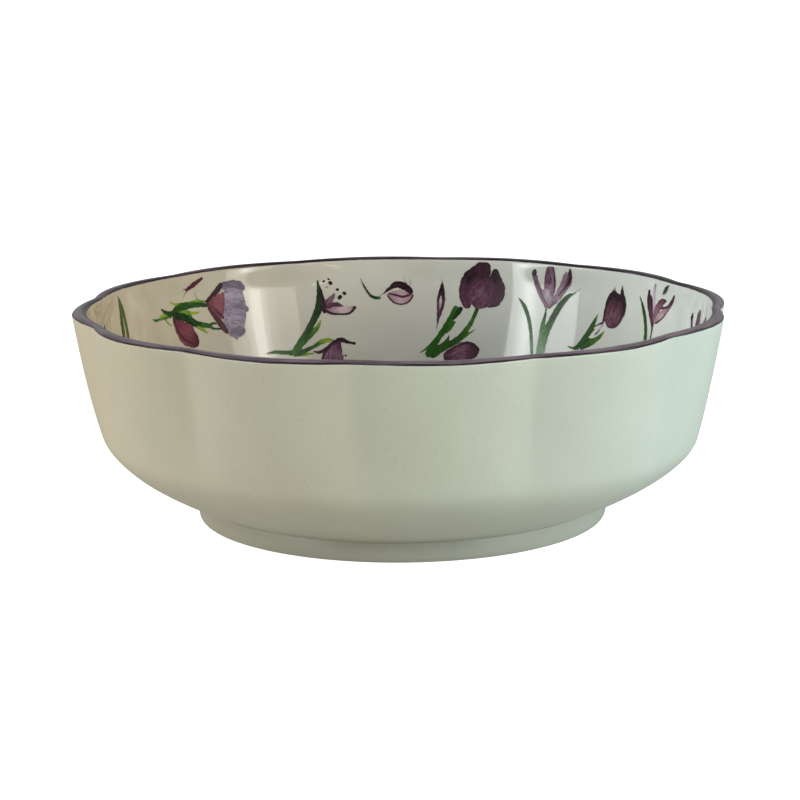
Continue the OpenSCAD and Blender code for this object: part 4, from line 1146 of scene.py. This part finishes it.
def soft_box(name, azimuth, width, low, high, distance, power, colour, mirrored=True):
    """A rectangular light that faces the bowl, given in degrees as the bowl sees it."""
    middle = math.radians((low + high) / 2)
    turn = math.radians(azimuth)
    bpy.ops.object.light_add(type="AREA")
    lamp = bpy.context.object
    lamp.name = name
    lamp.data.shape = "RECTANGLE"
    lamp.data.size = 2 * distance * math.tan(math.radians(width / 2))
    lamp.data.size_y = 2 * distance * math.tan(math.radians((high - low) / 2))
    lamp.data.energy = power * lamp.data.size * lamp.data.size_y
    lamp.data.color = colour
    lamp.visible_glossy = mirrored
    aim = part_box("bowl_body")[1].z * 0.8
    lamp.location = (distance * math.cos(middle) * math.cos(turn),
                     distance * math.cos(middle) * math.sin(turn),
                     aim + distance * math.sin(middle))
    lamp.rotation_euler = (math.pi / 2 - middle, 0, turn + math.pi / 2)
    return lamp


class BOWL_OT_stage(Operator):
    """Set up the pale floor, the soft lights and the camera"""

    bl_idname = "bowl.stage"
    bl_label = "Stage"

    def execute(self, context):
        _, _, stage = settings()
        scene = context.scene
        scene.view_settings.view_transform = "Standard"
        deselect()
        bpy.ops.mesh.primitive_plane_add(size=60)
        floor = context.object
        floor.name = "studio_floor"
        paper, tree, shader, _ = new_material("white_paper_sweep")
        fill(tree, shader, {"Base Color": linear("#cfcfcf"), "Roughness": 0.9,
                            "Emission Color": (1, 1, 1, 1), "Emission Strength": 1.0})
        floor.data.materials.append(paper)
        floor.visible_diffuse = False
        floor.visible_glossy = False
        world = bpy.data.worlds.new("soft_daylight")
        scene.world = world
        world.use_nodes = True
        tree = world.node_tree
        way = add_node(tree, "TexCoord", output="Generated")
        up = add_node(tree, "SeparateXYZ", {"Vector": way}, "Z")
        sky = add_node(tree, "ValToRGB",
                       {"Fac": add_node(tree, "MapRange", {"Value": up, "From Min": -1.0})})
        ramp = sky.node.color_ramp
        ramp.elements[0].color = SKY_BELOW
        ramp.elements[1].color = SKY_ABOVE
        for position, colour in SKY_BETWEEN:
            ramp.elements.new(position).color = colour
        seen = add_node(tree, "LightPath", output="Is Camera Ray")
        colour = add_node(tree, "Mix", {0: seen, 6: sky, 7: (1, 1, 1, 1)}, 2,
                          data_type="RGBA")
        fill(tree, tree.nodes["Background"], {"Color": colour})
        for light in LIGHTS:
            soft_box(*light)
        data = bpy.data.cameras.new("studio_camera")
        camera = bpy.data.objects.new("studio_camera", data)
        scene.collection.objects.link(camera)
        data.lens = stage.camera_lens
        data.sensor_width = 36.0
        data.dof.use_dof = False
        camera.rotation_mode = "XYZ"
        camera.location = (stage.camera_aside, -stage.camera_distance, stage.camera_height)
        camera.rotation_euler = (math.pi / 2 - stage.camera_pitch, 0, 0)
        context.view_layer.update()
        turn = camera.rotation_euler.to_matrix()
        roll = turn.Rotation(-stage.camera_roll, 3, "Z")
        camera.rotation_euler = (turn @ roll).to_euler("XYZ")
        scene.camera = camera
        return {"FINISHED"}


class BOWL_PT_tools(Panel):
    """Lists the bowl's pieces"""

    bl_idname = "BOWL_PT_tools"
    bl_label = "Porcelain bowl"
    bl_space_type = "VIEW_3D"
    bl_region_type = "UI"
    bl_category = "Bowl"

    def draw(self, context):
        layout = self.layout
        for group in (context.scene.bowl_sizes, context.scene.bowl_colours, context.scene.bowl_stage):
            box = layout.box()
            for name in group.bl_rna.properties.keys():
                if name not in ("rna_type", "name"):
                    box.prop(group, name)
        for operator in OPERATORS:
            layout.operator(operator.bl_idname)


GROUPS = (BowlSizes, BowlColours, StageSettings)
OPERATORS = (BOWL_OT_body, BOWL_OT_outer_glaze, BOWL_OT_foot_ring, BOWL_OT_base_glaze,
             BOWL_OT_inner_glaze, BOWL_OT_rim_band, BOWL_OT_transfers, BOWL_OT_stage)


def register():
    for item in GROUPS + OPERATORS + (BOWL_PT_tools,):
        bpy.utils.register_class(item)
    bpy.types.Scene.bowl_sizes = PointerProperty(type=BowlSizes)
    bpy.types.Scene.bowl_colours = PointerProperty(type=BowlColours)
    bpy.types.Scene.bowl_stage = PointerProperty(type=StageSettings)


def unregister():
    del bpy.types.Scene.bowl_stage
    del bpy.types.Scene.bowl_colours
    del bpy.types.Scene.bowl_sizes
    for item in reversed(GROUPS + OPERATORS + (BOWL_PT_tools,)):
        bpy.utils.unregister_class(item)


def main():
    register()
    bpy.ops.bowl.body()
    bpy.ops.bowl.outer_glaze()
    bpy.ops.bowl.foot_ring()
    bpy.ops.bowl.base_glaze()
    bpy.ops.bowl.inner_glaze()
    bpy.ops.bowl.rim_band()
    bpy.ops.bowl.transfers()
    bpy.ops.bowl.stage()


if __name__ == "__main__":
    main()
